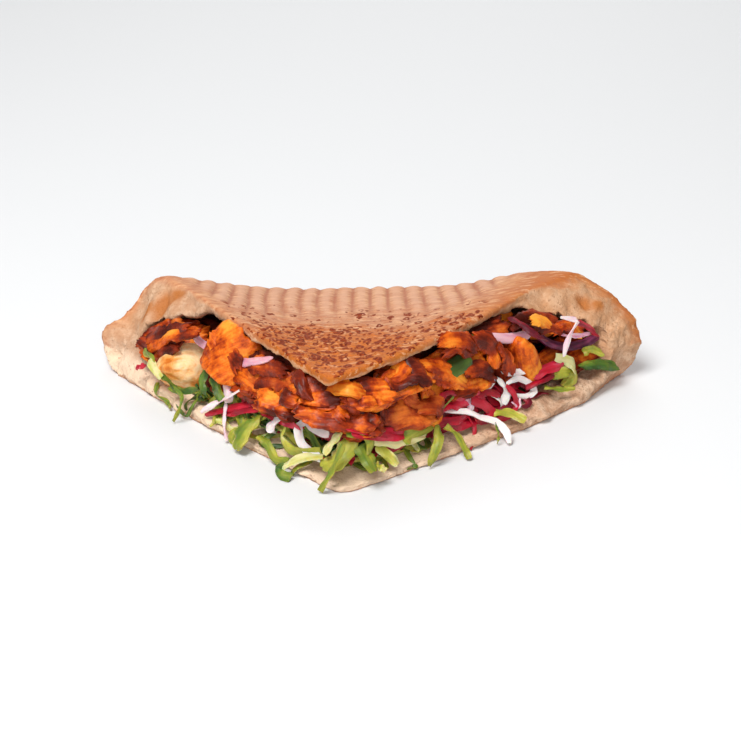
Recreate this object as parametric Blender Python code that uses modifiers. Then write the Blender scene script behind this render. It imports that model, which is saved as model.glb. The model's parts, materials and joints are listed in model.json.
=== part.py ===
# Doner kebab sandwich: a quarter of a round flatbread, slit open along its two straight cut
# edges so that the round crust at the back is a hinge, and filled with lettuce, pickled red
# cabbage and sliced chicken. Metres, +Z up. While it is worked out, the sandwich stands round
# the bread's front corner; at the end its origin goes to the middle of its footprint.
import math

import bmesh
import bpy
from mathutils import Euler, Matrix, Vector, noise

MM = 0.001
CUTTER_GROWTH = 0.6 * MM   # how much a piece is swollen where it is cut out of its neighbour
POCKET_GAP = 1.2 * MM      # clearance of the filling layers to the crumb

# Bread. Lists run from the right-hand end of the hinge to the left-hand end in equal steps.
STATIONS = 41              # sections round the front corner, two for each rib
RIM_RADII = [0.1625, 0.158, 0.156, 0.155, 0.155, 0.155, 0.156, 0.157, 0.1580]
HINGE_HEIGHTS = [0.0430, 0.0375, 0.0292, 0.0250, 0.0235, 0.0230, 0.0248, 0.0305, 0.0375]
FOOT_REACH = [0.006, 0.007, 0.008, 0.009, 0.009, 0.009, 0.009, 0.010, 0.014]
BROW_REACH = [0.014, 0.011, 0.009, 0.009, 0.009, 0.009, 0.009, 0.010, 0.012]
WALL = [0.0175, 0.016, 0.013, 0.012, 0.012, 0.012, 0.013, 0.017, 0.0215]
ROOF_REACH = [0.040, 0.026, 0.012, 0.006, 0.006, 0.006, 0.012, 0.024, 0.034]
ROOF_BACK = [0.0045, 0.0050, 0.0058, 0.0060, 0.0060, 0.0060, 0.0060, 0.0058, 0.0055]
FLOOR = 0.0065             # thickness of the lower half
ROOF_TIP = 0.0038          # thickness of the upper half at its tip
WAIST = 0.46               # height of the widest line of the hinge, as a share of its height
CORNER_RADIUS = 0.0046     # blunt front corner of the lower half
TIP = Vector((-0.0050, 0.0100, 0.0455))   # tip of the upper half, its top face
TIP_RADIUS = 0.0036
RIGHT_EDGE, LEFT_EDGE = 37.6, 136.0       # bearings of the lower cut edges, degrees
RIGHT_CORNER_PULL, LEFT_CORNER_PULL = 5.2, 3.7
RIGHT_TOP_TURN, LEFT_TOP_TURN = 9.5, -11.0  # how far the hinge's top is turned inwards
RIGHT_WALL_BULGE = 3.0
RIGHT_EDGE_BOW, LEFT_EDGE_BOW = 0.0055, 0.0015  # the upper cut edges curve outwards
BOW_SKEW = 1.8             # most of all near the tip
CROWN = 0.0010             # and rise by this much between hinge and tip
RIB_HEIGHT = 0.0008        # baked ridges over the hinge, crest above mid height
RIB_FADE = 0.38            # they run this share of the way to the tip
BOTTOM_POINTS, HINGE_POINTS, ROOF_POINTS = 6, 7, 6

# Layers of filling that run through the pocket: the share of the pocket's height at their
# underside and top, how far their front, right and left sides and back stay from the corner, the cut edges
# and the hinge, and how uneven the top is
LAYERS = [
    dict(name="meat_bed", shares=(0.47, 1.0), shade="brown", front=0.024, inset=(0.015, 0.013),
         back=0.0040, unevenness=0.0, seed=1.7),
    dict(name="cabbage_bed", shares=(0.24, 0.42), shade="crimson", front=0.020,
         inset=(0.0115, 0.0090), back=0.003, unevenness=0.02, seed=5.2),
    dict(name="lettuce_bed", shares=(0.0, 0.19), shade="lettuce", front=0.015,
         inset=(0.0115, 0.0080), back=0.0040, unevenness=0.02, seed=9.4),
]

CRUST = (0.83, 0.53, 0.30, 1.0)
SHADES = {
    "orange": ((0.80, 0.26, 0.05, 1.0), 0.45),
    "brown": ((0.32, 0.10, 0.04, 1.0), 0.50),
    "pale": ((0.86, 0.60, 0.35, 1.0), 0.50),
    "onion": ((0.72, 0.42, 0.50, 1.0), 0.35),
    "purple": ((0.22, 0.05, 0.11, 1.0), 0.35),
    "pepper": ((0.20, 0.26, 0.05, 1.0), 0.35),
    "lettuce": ((0.42, 0.47, 0.12, 1.0), 0.45),
    "pale_leaf": ((0.72, 0.74, 0.40, 1.0), 0.45),
    "crimson": ((0.45, 0.02, 0.07, 1.0), 0.35),
    "white": ((0.85, 0.74, 0.76, 1.0), 0.40),
}

# Sliced meat: centre, size (length, width, thickness) and turn (roll, pitch, yaw), all from
# the front corner in mm and degrees; bend is the rise of the middle over the ends.
SLICES = [
    dict(name="meat_back_left", at=(-71, 97, 19), size=(29, 17, 5), turn=(42, -14, 6), bend=2.5),
    dict(name="meat_dark_left", at=(-65, 92, 14.5), size=(24, 13, 4), turn=(50, -10, -4), bend=1,
         shade="brown"),
    dict(name="meat_lobe_left", at=(-44, 65, 28), size=(21, 22, 6.5), turn=(60, 16, -36), bend=5),
    dict(name="meat_shred_left", at=(-48, 67, 17), size=(18, 13, 4), turn=(60, 14, -40), bend=2),
    dict(name="meat_ragged_left", at=(-27, 45, 27), size=(34, 20, 5), turn=(58, 2, -44), bend=2,
         shade="brown"),
    dict(name="meat_slab_left", at=(-24, 34, 21), size=(21, 14, 5), turn=(30, 10, -30), bend=2),
    dict(name="meat_front_left", at=(-10, 19, 33), size=(22, 15, 4), turn=(38, 2, -20), bend=1.5),
    dict(name="meat_front_right", at=(9, 17, 33), size=(20, 13, 4), turn=(38, 3, 14), bend=2),
    dict(name="meat_front_low", at=(-3, 13, 27), size=(31, 14, 4.5), turn=(48, 9, -2), bend=2),
    dict(name="meat_yellow_bit", at=(7, 12, 21.5), size=(15, 9, 4), turn=(46, 0, 12), bend=1),
    dict(name="meat_cluster", at=(21, 28, 20.5), size=(29, 15, 6), turn=(54, 0, 32), bend=2.5,
         shade="brown"),
    dict(name="meat_arch", at=(23, 31, 32), size=(27, 14, 3.6), turn=(38, -4, 36), bend=4.5),
    dict(name="meat_ragged_right", at=(44, 53, 27), size=(36, 22, 5), turn=(60, 0, 39), bend=2.5),
    dict(name="meat_under_roof", at=(54, 70, 35), size=(26, 13, 4), turn=(42, -3, 42), bend=2,
         shade="brown"),
    dict(name="meat_wedge_right", at=(91, 93, 14), size=(30, 17, 5), turn=(26, -6, 40),
         bend=1.5),
]

# Thicker pieces: centre, size and turn as above; they are rounded lumps
CHUNKS = [
    dict(name="chicken_chunk", at=(-65, 83, 15), size=(23, 17, 16), turn=(15, -18, -28),
         shade="pale"),
    dict(name="meat_finger", at=(71, 74, 21), size=(28, 14, 10), turn=(8, 66, 60)),
    dict(name="meat_finger_dark", at=(60, 66, 24), size=(24, 12, 8), turn=(0, 64, 52),
         shade="brown"),
    dict(name="meat_tan_bit", at=(79, 91, 28), size=(13, 11, 7), turn=(12, -8, 35),
         shade="pale"),
    dict(name="meat_brown_bit", at=(95, 103, 22), size=(17, 10, 7), turn=(0, 0, 40),
         shade="brown"),
]

# Cut vegetables: ribbons through the points they follow (mm from the front corner), with
# their width, thickness and the way that their broad side faces at the start and the end
RIBBONS = [
    dict(name="onion_arc_left", width=3.4, thick=1.4, shade="onion",
         path=[(-62, 83, 31), (-59, 77, 29), (-54, 72, 28), (-50, 68, 29)],
         faces=[(-0.3, -0.7, 0.6), (-0.2, -0.6, 0.8)]),
    dict(name="onion_sliver_left", width=3.2, thick=1.2, shade="onion",
         path=[(-45, 60, 27), (-39, 54, 30), (-33, 47, 34), (-28, 42, 37.5)],
         faces=[(-0.3, -0.7, 0.7), (-0.3, -0.7, 0.7)]),
    dict(name="onion_ring_right", width=4.2, thick=1.8, shade="onion",
         path=[(54, 60, 38.5), (61, 65, 35.5), (68, 71, 33), (74, 78, 32)],
         faces=[(0.2, -0.6, 0.8), (0.3, -0.6, 0.7)]),
    dict(name="onion_purple_right", width=4.5, thick=1.6, shade="purple",
         path=[(75, 80, 32), (83, 83, 25), (91, 88, 21.5), (99, 94, 21), (105, 100, 22)],
         faces=[(0.3, -0.6, 0.8), (0.3, -0.5, 0.8)]),
    dict(name="pepper_piece_low", width=6.5, thick=2.4, shade="pepper",
         path=[(38, 42, 31), (43, 46, 32), (48, 50, 32.5)],
         faces=[(0.3, -0.7, 0.7), (0.4, -0.6, 0.7)]),
    dict(name="pepper_piece_high", width=6.5, thick=2.4, shade="pepper",
         path=[(46, 54, 38.5), (52, 59, 37), (58, 64, 35)],
         faces=[(0.4, -0.5, 0.8), (0.4, -0.5, 0.8)]),
    dict(name="leaf_lobe_left", width=9.0, thick=1.6, shade="lettuce",
         path=[(-33, 42, 13), (-37, 37, 11.5), (-41, 34, 7.5), (-43, 34, 2.5)],
         faces=[(-0.5, -0.6, 0.7), (-0.6, -0.7, 0.2)]),
    dict(name="leaf_wide_front", width=14.0, thick=1.4, shade="lettuce",
         path=[(4, 12, 20), (1, 8, 15.5), (-4, 7, 11), (-9, 9, 8.2)],
         faces=[(0.1, -0.7, 0.7), (-0.1, -0.5, 0.9)]),
    dict(name="leaf_pale_front", width=6.0, thick=1.4, shade="pale_leaf",
         path=[(10, 13, 16), (17, 18, 13), (24, 25, 10.5), (31, 31, 9)],
         faces=[(0.3, -0.7, 0.7), (0.4, -0.6, 0.6)]),
    dict(name="leaf_curl_right", width=6.0, thick=1.5, shade="lettuce",
         path=[(77, 73, 13.5), (83, 76, 15), (90, 80, 14.5), (92, 81, 11), (88, 78, 8.5)],
         faces=[(0.3, -0.6, 0.7), (0.5, -0.6, 0.4)]),
    dict(name="leaf_dark_right", width=5.0, thick=1.5, shade="pepper",
         path=[(95, 83, 15), (101, 86.5, 14), (107, 90.5, 12), (112, 94, 9)],
         faces=[(0.4, -0.6, 0.7), (0.5, -0.5, 0.7)]),
]


def blend(a, b, t):
    return a + (b - a) * t


def round_hinge(psi, values):
    # Catmull-Rom curve through values given at equal steps round the hinge
    last = len(values) - 1
    x = min(max(psi, 0.0), 1.0) * last
    i = min(int(x), last - 1)
    t = x - i
    p0, p1 = values[max(i - 1, 0)], values[i]
    p2, p3 = values[i + 1], values[min(i + 2, last)]
    return 0.5 * (2 * p1 + (p2 - p0) * t + (2 * p0 - 5 * p1 + 4 * p2 - p3) * t ** 2
                  + (3 * p1 - p0 - 3 * p2 + p3) * t ** 3)


def bearing(psi, reach, rise):
    # Direction of a section point: reach is its share of the radius, rise its share of height
    right = RIGHT_EDGE + RIGHT_CORNER_PULL * max(0.0, (reach - 0.6) / 0.4) ** 1.6
    right += RIGHT_TOP_TURN * rise ** 3
    right -= RIGHT_WALL_BULGE * math.sin(math.pi * rise) * reach ** 3
    left = LEFT_EDGE - LEFT_CORNER_PULL * reach + LEFT_TOP_TURN * rise ** 1.5
    return math.radians(blend(right, left, psi))


def polar(radius, angle, height):
    return Vector((radius * math.cos(angle), radius * math.sin(angle), height))


def blunt_corner(psi, height):
    # Point on the rounded front corner of the lower half, which bulges forwards
    angle = bearing(psi, 0, 0)
    return Vector((CORNER_RADIUS * math.cos(angle),
                   CORNER_RADIUS * (0.92 - 0.5 * math.sin(angle)), height))


def quarter_arcs(count):
    # Turns of the points of a half-oval, from straight down (left out) to straight up
    return [math.radians(-90 + 180 * i / count) for i in range(1, count + 1)]


def roof_point(psi, t):
    # Top face of the upper half: t runs from the hinge to the rounded tip
    height = round_hinge(psi, HINGE_HEIGHTS)
    radius = round_hinge(psi, RIM_RADII) - round_hinge(psi, BROW_REACH)
    reach = radius / (round_hinge(psi, RIM_RADII) - round_hinge(psi, FOOT_REACH))
    start = polar(radius, bearing(psi, min(reach, 1.0), 1.0), height)
    towards = Vector((start.x - TIP.x, start.y - TIP.y, 0)).normalized()
    end = Vector((TIP.x + TIP_RADIUS * towards.x, TIP.y - 0.5 * TIP_RADIUS * towards.y, TIP.z))
    bow = Vector((-towards.y, towards.x, 0)) * blend(-RIGHT_EDGE_BOW, LEFT_EDGE_BOW, psi)
    bow.z = CROWN
    return start.lerp(end, t) + bow * math.sin(math.pi * t ** BOW_SKEW)


def rib(psi, station, share):
    # Height added by the baked ridges, which die out at both ends and towards the tip
    crest = 1 if station % 2 else -1
    sides = min(1.0, max(0.0, (psi - 0.10) / 0.12), max(0.0, (0.97 - psi) / 0.10))
    return RIB_HEIGHT * crest * sides * max(0.0, 1 - share / RIB_FADE)


def outer_profile(psi, station=None):
    rim = round_hinge(psi, RIM_RADII)
    foot = round_hinge(psi, FOOT_REACH)
    brow = round_hinge(psi, BROW_REACH)
    height = round_hinge(psi, HINGE_HEIGHTS)
    points = [blunt_corner(psi, 0)]
    for i in range(1, BOTTOM_POINTS):
        reach = i / (BOTTOM_POINTS - 1)
        points.append(polar(reach * (rim - foot), bearing(psi, reach, 0), 0))
    for turn in quarter_arcs(HINGE_POINTS):
        side = foot if turn < 0 else brow
        radius = rim - side + side * math.cos(turn)
        middle = WAIST * height
        tall = middle if turn < 0 else height - middle
        z = middle + tall * math.sin(turn)
        points.append(polar(radius, bearing(psi, min(radius / (rim - foot), 1), z / height), z))
    points += [roof_point(psi, i / ROOF_POINTS) for i in range(1, ROOF_POINTS + 1)]
    if station is not None:
        for i in range(BOTTOM_POINTS + HINGE_POINTS // 2, len(points)):
            share = max(0, i - BOTTOM_POINTS - HINGE_POINTS + 1) / ROOF_POINTS
            points[i].z += rib(psi, station, share)
    return points


def ceiling_point(psi, t):
    # Crumb side of the upper half, straight under its top face
    point = roof_point(psi, t)
    point.z -= blend(round_hinge(psi, ROOF_BACK), ROOF_TIP, t)
    return point


def inner_profile(psi):
    rim = round_hinge(psi, RIM_RADII) - round_hinge(psi, WALL)
    foot_radius = round_hinge(psi, RIM_RADII) - round_hinge(psi, FOOT_REACH)
    reach_in = round_hinge(psi, WALL) + round_hinge(psi, ROOF_REACH)
    reach_in -= round_hinge(psi, BROW_REACH)
    first = reach_in / roof_point(psi, 0).xy.length
    last = ceiling_point(psi, first)
    middle = blend(FLOOR, last.z, WAIST)
    waist_angle = bearing(psi, 1, WAIST)
    roof_angle = math.atan2(last.y, last.x)
    foot = middle - FLOOR
    points = [blunt_corner(psi, FLOOR)]
    for i in range(1, BOTTOM_POINTS):
        radius = (rim - foot) * i / (BOTTOM_POINTS - 1)
        points.append(polar(radius, bearing(psi, radius / foot_radius, 0), FLOOR))
    floor_angle = bearing(psi, (rim - foot) / foot_radius, 0)
    for turn in quarter_arcs(HINGE_POINTS):
        swing = 1 - math.cos(turn)
        if turn < 0:
            points.append(polar(rim - foot * swing, blend(waist_angle, floor_angle, swing),
                                middle + foot * math.sin(turn)))
        else:
            points.append(polar(blend(rim, last.xy.length, swing),
                                blend(waist_angle, roof_angle, swing),
                                blend(middle, last.z, math.sin(turn))))
    points += [ceiling_point(psi, blend(first, 1, i / ROOF_POINTS))
               for i in range(1, ROOF_POINTS + 1)]
    return points


def mesh_object(name, mesh, shade, folder):
    colour, roughness = shade
    material = bpy.data.materials.new(name)
    material.use_nodes = True
    shader = material.node_tree.nodes["Principled BSDF"]
    shader.inputs["Base Color"].default_value = colour
    shader.inputs["Roughness"].default_value = roughness
    shader.inputs["Metallic"].default_value = 0.0
    mesh.materials.append(material)
    thing = bpy.data.objects.new(name, mesh)
    folder.objects.link(thing)
    return thing


def close_up(bm, name):
    # Outward flat faces on a closed body, as a mesh
    bmesh.ops.triangulate(bm, faces=bm.faces)
    bmesh.ops.recalc_face_normals(bm, faces=bm.faces)
    mesh = bpy.data.meshes.new(name)
    bm.to_mesh(mesh)
    bm.free()
    return mesh


def make_bread(folder):
    # The wall of each section is lofted to the next, and both cut ends are closed by a strip
    bm = bmesh.new()
    rings = []
    for station in range(STATIONS):
        psi = station / (STATIONS - 1)
        outside = [bm.verts.new(p) for p in outer_profile(psi, station)]
        inside = [bm.verts.new(p) for p in inner_profile(psi)]
        rings.append((outside, inside))
    for (out_a, in_a), (out_b, in_b) in zip(rings, rings[1:]):
        loop_a = out_a + in_a[::-1]
        loop_b = out_b + in_b[::-1]
        for i in range(len(loop_a)):
            j = (i + 1) % len(loop_a)
            bm.faces.new((loop_a[i], loop_a[j], loop_b[j], loop_b[i]))
    for outside, inside in (rings[0], rings[-1]):
        for i in range(len(outside) - 1):
            bm.faces.new((outside[i], outside[i + 1], inside[i + 1], inside[i]))
    return mesh_object("bread", close_up(bm, "bread"), (CRUST, 0.75), folder)


def pocket_point(psi, radius, share):
    # A point in the pocket: share runs from the lower crumb to the upper crumb
    profile = inner_profile(psi)
    rim = round_hinge(psi, RIM_RADII) - round_hinge(psi, FOOT_REACH)
    floor_point = polar(radius, bearing(psi, radius / rim, 0), FLOOR + POCKET_GAP)
    roof = profile[BOTTOM_POINTS + HINGE_POINTS // 2:]
    for far, near in zip(roof, roof[1:]):
        far_radius, near_radius = far.xy.length, near.xy.length
        if far_radius >= radius >= near_radius:
            t = (far_radius - radius) / max(far_radius - near_radius, 1e-9)
            break
    else:
        far, near, t = roof[-2], roof[-1], 1.0
    roof_point = far.lerp(near, t)
    roof_point.z -= POCKET_GAP
    return floor_point.lerp(roof_point, share)


def pocket_wall(psi, share):
    # Radius of the pocket's back wall at a share of its height; it rounds in below the waist
    profile = inner_profile(psi)
    rim = round_hinge(psi, RIM_RADII) - round_hinge(psi, WALL)
    foot = WAIST * (profile[BOTTOM_POINTS + HINGE_POINTS - 1].z - FLOOR)
    below = max(0.0, (WAIST - share) / WAIST)
    return rim - foot * (1 - math.sqrt(1 - below ** 2))


def make_layer(folder, name, shares, shade, front, inset, back, unevenness, seed):
    # A bed of filling that runs right through the pocket, with an uneven top and outline
    around, outward = 13, 4
    low, high = shares
    bm = bmesh.new()
    rows = []
    for i in range(around + 1):
        row = []
        for j in range(outward + 1):
            spread = i / around
            rim = pocket_wall(spread, low) - back
            ruffle = noise.noise(Vector((i * 0.76, seed, 0.3)))
            radius = blend(front * (1 + 0.25 * ruffle), rim, j / outward)
            ruffle = noise.noise(Vector((j * 1.0, seed, 4.1 + 3 * round(spread))))
            arc = radius * math.radians(LEFT_EDGE - RIGHT_EDGE)
            right, left = (min(0.42, side * (1 + 0.35 * ruffle) / arc) for side in inset)
            psi = blend(right, 1 - left, spread)
            bump = unevenness * noise.noise(Vector((i * 1.1, j * 1.6, seed)))
            under = bm.verts.new(pocket_point(psi, radius, low))
            over = bm.verts.new(pocket_point(psi, radius, min(high + bump, 0.98)))
            row.append((under, over))
        rows.append(row)
    for a, b in zip(rows, rows[1:]):
        for j in range(outward):
            bm.faces.new((a[j][0], a[j + 1][0], b[j + 1][0], b[j][0]))
            bm.faces.new((a[j][1], b[j][1], b[j + 1][1], a[j + 1][1]))
        for j in (0, outward):
            bm.faces.new((a[j][0], b[j][0], b[j][1], a[j][1]))
    for row in (rows[0], rows[-1]):
        for p, q in zip(row, row[1:]):
            bm.faces.new((p[0], q[0], q[1], p[1]))
    return mesh_object(name, close_up(bm, name), SHADES[shade], folder)


def placement(at, turn):
    return Matrix.Translation(Vector(at) * MM) @ Euler([math.radians(a) for a in turn]).to_matrix(
    ).to_4x4()


def make_slice(folder, name, at, size, turn, bend, shade="orange"):
    # A shaved slice: a sheet with a torn outline, bent along its length and given its thickness
    length, width, thick = (s * MM for s in size)
    seed = sum(ord(c) for c in name) * 0.37
    bm = bmesh.new()
    bmesh.ops.create_grid(bm, x_segments=6, y_segments=3, size=1.0)
    for v in bm.verts:
        u, w = v.co.x, v.co.y
        x = u * math.sqrt(1 - 0.42 * w * w)
        y = w * math.sqrt(1 - 0.42 * u * u)
        torn = 1 + 0.16 * noise.noise(Vector((2.1 * u + seed, 2.1 * w, seed)))
        sag = bend * MM * (1 - u * u) + 1.2 * MM * noise.noise(Vector((1.3 * u, 1.3 * w + seed, 0)))
        v.co = Vector((x * torn * length / 2, y * torn * width / 2, sag))
    mesh = bpy.data.meshes.new(name)
    bm.to_mesh(mesh)
    bm.free()
    return solid_sheet(mesh, thick, placement(at, turn), name, SHADES[shade], folder)


def solid_sheet(mesh, thick, where, name, shade, folder):
    # Gives an open sheet its thickness, puts it in its place and keeps it as a closed mesh
    sheet = bpy.data.objects.new(name, mesh)
    folder.objects.link(sheet)
    solidify = sheet.modifiers.new("thickness", "SOLIDIFY")
    solidify.thickness = thick
    solidify.offset = 0
    solidify.use_even_offset = False
    bm = bmesh.new()
    bm.from_object(sheet, bpy.context.evaluated_depsgraph_get())
    bmesh.ops.transform(bm, matrix=where, verts=bm.verts)
    bpy.data.objects.remove(sheet)
    return mesh_object(name, close_up(bm, name), shade, folder)


def make_chunk(folder, name, at, size, turn, shade="orange"):
    # A rounded lump with flattened, uneven sides
    seed = sum(ord(c) for c in name) * 0.53
    bm = bmesh.new()
    bmesh.ops.create_uvsphere(bm, u_segments=10, v_segments=7, radius=0.5)
    bmesh.ops.rotate(bm, verts=bm.verts, matrix=Matrix.Rotation(math.radians(90), 3, "Y"))
    for v in bm.verts:
        uneven = 1 + 0.22 * noise.noise(v.co * 2.4 + Vector((seed, 0, 0)))
        v.co = Vector(math.copysign(abs(2 * c) ** 0.82, c) / 2 * s * MM * uneven
                      for c, s in zip(v.co, size))
    bmesh.ops.transform(bm, matrix=placement(at, turn), verts=bm.verts)
    return mesh_object(name, close_up(bm, name), SHADES[shade], folder)


def make_ribbon(folder, name, width, thick, shade, path, faces):
    # A cut strip: a sheet that follows its path, broad in the middle and narrower at its ends
    steps, across = 8, 1
    points = [Vector(p) * MM for p in path]
    curve = [Vector([round_hinge(i / steps, [p[axis] for p in points]) for axis in range(3)])
             for i in range(steps + 1)]
    bm = bmesh.new()
    bmesh.ops.create_grid(bm, x_segments=steps, y_segments=across, size=1.0)
    for v in bm.verts:
        share = (v.co.x + 1) / 2
        i = round(share * steps)
        along = (curve[min(i + 1, steps)] - curve[max(i - 1, 0)]).normalized()
        facing = Vector(faces[0]).lerp(Vector(faces[1]), share)
        side = facing.cross(along).normalized()
        breadth = width * MM * (0.45 + 0.55 * math.sin(math.pi * (0.12 + 0.76 * share)))
        v.co = curve[i] + side * breadth / 2 * v.co.y
    mesh = bpy.data.meshes.new(name)
    bm.to_mesh(mesh)
    bm.free()
    return solid_sheet(mesh, thick * MM, Matrix.Identity(4), name, SHADES[shade], folder)


def swollen_copy(thing, folder):
    copy = bpy.data.objects.new(thing.name + "_cutter", thing.data.copy())
    for v, normal in zip(copy.data.vertices, [v.normal.copy() for v in thing.data.vertices]):
        v.co += normal * CUTTER_GROWTH
    copy.hide_render = True
    copy.display_type = "WIRE"
    folder.objects.link(copy)
    return copy


def boxes_meet(a, b):
    low_a, high_a = bounds([a])
    low_b, high_b = bounds([b])
    return all(low_a[i] < high_b[i] and low_b[i] < high_a[i] for i in range(3))


def bounds(things):
    corners = [v.co for thing in things for v in thing.data.vertices]
    return ([min(c[i] for c in corners) for i in range(3)],
            [max(c[i] for c in corners) for i in range(3)])


def largest_body(mesh):
    # Keeps the biggest of the pieces that cutting may leave
    bm = bmesh.new()
    bm.from_mesh(mesh)
    left = set(bm.faces)
    bodies = []
    while left:
        body, edge = set(), [left.pop()]
        while edge:
            face = edge.pop()
            body.add(face)
            for e in face.edges:
                for other in e.link_faces:
                    if other in left:
                        left.discard(other)
                        edge.append(other)
        bodies.append(body)
    biggest = max(bodies, key=lambda faces: sum(f.calc_area() for f in faces))
    bmesh.ops.delete(bm, geom=[f for f in bm.faces if f not in biggest], context="FACES")
    bmesh.ops.triangulate(bm, faces=bm.faces)
    bm.to_mesh(mesh)
    bm.free()


def clear_of(thing, cutters):
    # Cuts the swollen neighbours out of a piece, so that it only lies against them
    near = [cutter for cutter in cutters if boxes_meet(thing, cutter)]
    for cutter in near:
        cut = thing.modifiers.new("clear_of_" + cutter.name, "BOOLEAN")
        cut.operation = "DIFFERENCE"
        cut.object = cutter
        cut.solver = "MANIFOLD"
    if near:
        bpy.context.view_layer.update()
        result = bpy.data.meshes.new_from_object(thing.evaluated_get(
            bpy.context.evaluated_depsgraph_get()))
        thing.modifiers.clear()
        material = thing.data.materials[0]
        thing.data = result
        thing.data.materials.clear()
        thing.data.materials.append(material)
        largest_body(thing.data)


def main():
    for thing in list(bpy.data.objects):
        bpy.data.objects.remove(thing)
    scene = bpy.context.scene
    folder = bpy.data.collections.new("doner_kebab_sandwich")
    pool = bpy.data.collections.new("cutters")
    scene.collection.children.link(folder)
    scene.collection.children.link(pool)

    bread = make_bread(folder)
    pieces = [make_slice(folder, **row) for row in SLICES]
    pieces += [make_chunk(folder, **row) for row in CHUNKS]
    pieces += [make_ribbon(folder, **row) for row in RIBBONS]
    layers = [make_layer(folder, **row) for row in LAYERS]

    cutters = [swollen_copy(thing, pool) for thing in [bread] + pieces]
    for i, piece in enumerate(pieces):
        clear_of(piece, cutters[:i + 1])
    for layer in layers:
        clear_of(layer, cutters[1:])
    pieces += layers

    low, high = bounds([bread] + pieces)
    shift = Vector((-(low[0] + high[0]) / 2, -(low[1] + high[1]) / 2, -low[2]))
    for thing in [bread] + pieces + cutters:
        thing.data.transform(Matrix.Translation(shift))
    print("front corner at", [round(c / MM, 2) for c in shift])
    for thing in [bread] + pieces:
        thing.data.calc_loop_triangles()
        print(thing.name, len(thing.data.loop_triangles))


main()
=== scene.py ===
# Doner kebab sandwich: the looks of the quarter flatbread, its roasted meat and its salad.
# Lengths in the dictionaries are in mm, and places are counted from the bread's front corner.
import json
import math
import random

import bmesh
import bpy
import numpy as np
from mathutils import Matrix, Vector, noise
from mathutils.bvhtree import BVHTree

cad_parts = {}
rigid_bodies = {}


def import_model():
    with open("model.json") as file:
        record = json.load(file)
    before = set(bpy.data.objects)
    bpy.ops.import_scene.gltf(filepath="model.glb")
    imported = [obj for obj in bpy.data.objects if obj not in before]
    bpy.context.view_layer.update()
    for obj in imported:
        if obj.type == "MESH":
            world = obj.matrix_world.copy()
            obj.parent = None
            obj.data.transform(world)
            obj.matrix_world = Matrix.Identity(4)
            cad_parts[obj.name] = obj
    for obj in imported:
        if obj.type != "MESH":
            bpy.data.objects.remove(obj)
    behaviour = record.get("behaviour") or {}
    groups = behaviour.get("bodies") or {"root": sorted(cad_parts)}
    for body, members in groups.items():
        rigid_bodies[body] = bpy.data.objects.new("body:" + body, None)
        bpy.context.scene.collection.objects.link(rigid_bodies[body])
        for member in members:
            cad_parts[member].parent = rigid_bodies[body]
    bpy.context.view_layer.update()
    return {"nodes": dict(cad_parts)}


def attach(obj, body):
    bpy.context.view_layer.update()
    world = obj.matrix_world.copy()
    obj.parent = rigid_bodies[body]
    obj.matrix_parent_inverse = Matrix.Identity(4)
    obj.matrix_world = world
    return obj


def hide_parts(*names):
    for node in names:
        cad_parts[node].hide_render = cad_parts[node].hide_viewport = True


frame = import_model()
mm = 0.001
dice = random.Random(27)
noise.seed_set(27)  # the offsets of noise_vector, which the clock would set otherwise
nodes = frame["nodes"]

# how far the bread's front corner is blunted, and the way that each cut runs from it, in degrees
quarter = {"blunt": 1.9, "cuts": {"right": 37.6, "left": 136.0}}
frontPoint = min((v.co for v in nodes["bread"].data.vertices), key=lambda co: co.y)
corner = Vector((frontPoint.x, frontPoint.y - quarter["blunt"] * mm, 0.0))  # where the cuts would meet
cutRun = {side: Vector((math.cos(math.radians(turn)), math.sin(math.radians(turn)), 0))
          for side, turn in quarter["cuts"].items()}
cutFacing = {"right": Vector((cutRun["right"].y, -cutRun["right"].x, 0)),
             "left": Vector((-cutRun["left"].y, cutRun["left"].x, 0))}


def place(point):
    return Vector(point) * mm + corner


def clampTo(value, low=0.0, high=1.0):
    return max(low, min(high, value))


def ramp(low, high, value):
    # 0 below low and 1 above high, with a soft start and end
    t = clampTo((value - low) / (high - low))
    return t * t * (3 - 2 * t)


def fade(low, high, length):
    # the same for a length in metres, between two lengths in mm
    return ramp(low * mm, high * mm, length)


def wobble(point, size):
    # smooth noise, -1 to 1, in lumps of about the given size in mm
    return noise.noise(point / (size * mm))


def ripple(*at):
    return noise.noise(Vector(at))


def tone(red, green, blue):
    # a screen colour, 0 to 255, as the renderer's linear values
    steps = [c / 255 for c in (red, green, blue)]
    return tuple(c / 12.92 if c < 0.04045 else ((c + 0.055) / 1.055) ** 2.4 for c in steps) + (1.0,)


# handling of objects

def pickOnly(obj):
    bpy.ops.object.select_all(action="DESELECT")
    obj.select_set(True)
    bpy.context.view_layer.objects.active = obj


def finishModifier(obj, kind, **settings):
    pickOnly(obj)
    modifier = obj.modifiers.new(kind.lower(), kind)
    for name, value in settings.items():
        setattr(modifier, name, value)
    bpy.ops.object.modifier_apply(modifier=modifier.name)


def newObject(name, mesh):
    obj = bpy.data.objects.new(name, mesh)
    bpy.context.scene.collection.objects.link(obj)
    return obj


def copyOfNode(nodeName, pieceName):
    # a CAD node's mesh is loose triangles, so the copy is merged
    piece = newObject(pieceName, nodes[nodeName].data.copy())
    piece.data.materials.clear()
    pickOnly(piece)
    bpy.ops.object.mode_set(mode="EDIT")
    bpy.ops.mesh.select_all(action="SELECT")
    bpy.ops.mesh.remove_doubles(threshold=0.01 * mm)
    bpy.ops.object.mode_set(mode="OBJECT")
    return piece


def evenSkin(piece, voxel, rounds):
    finishModifier(piece, "REMESH", mode="VOXEL", voxel_size=voxel * mm)
    finishModifier(piece, "SMOOTH", factor=0.5, iterations=rounds)


def readPoints(mesh, what="co"):
    flat = np.empty(len(mesh.vertices) * 3)
    mesh.vertices.foreach_get(what, flat)
    return flat.reshape(-1, 3)


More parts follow.
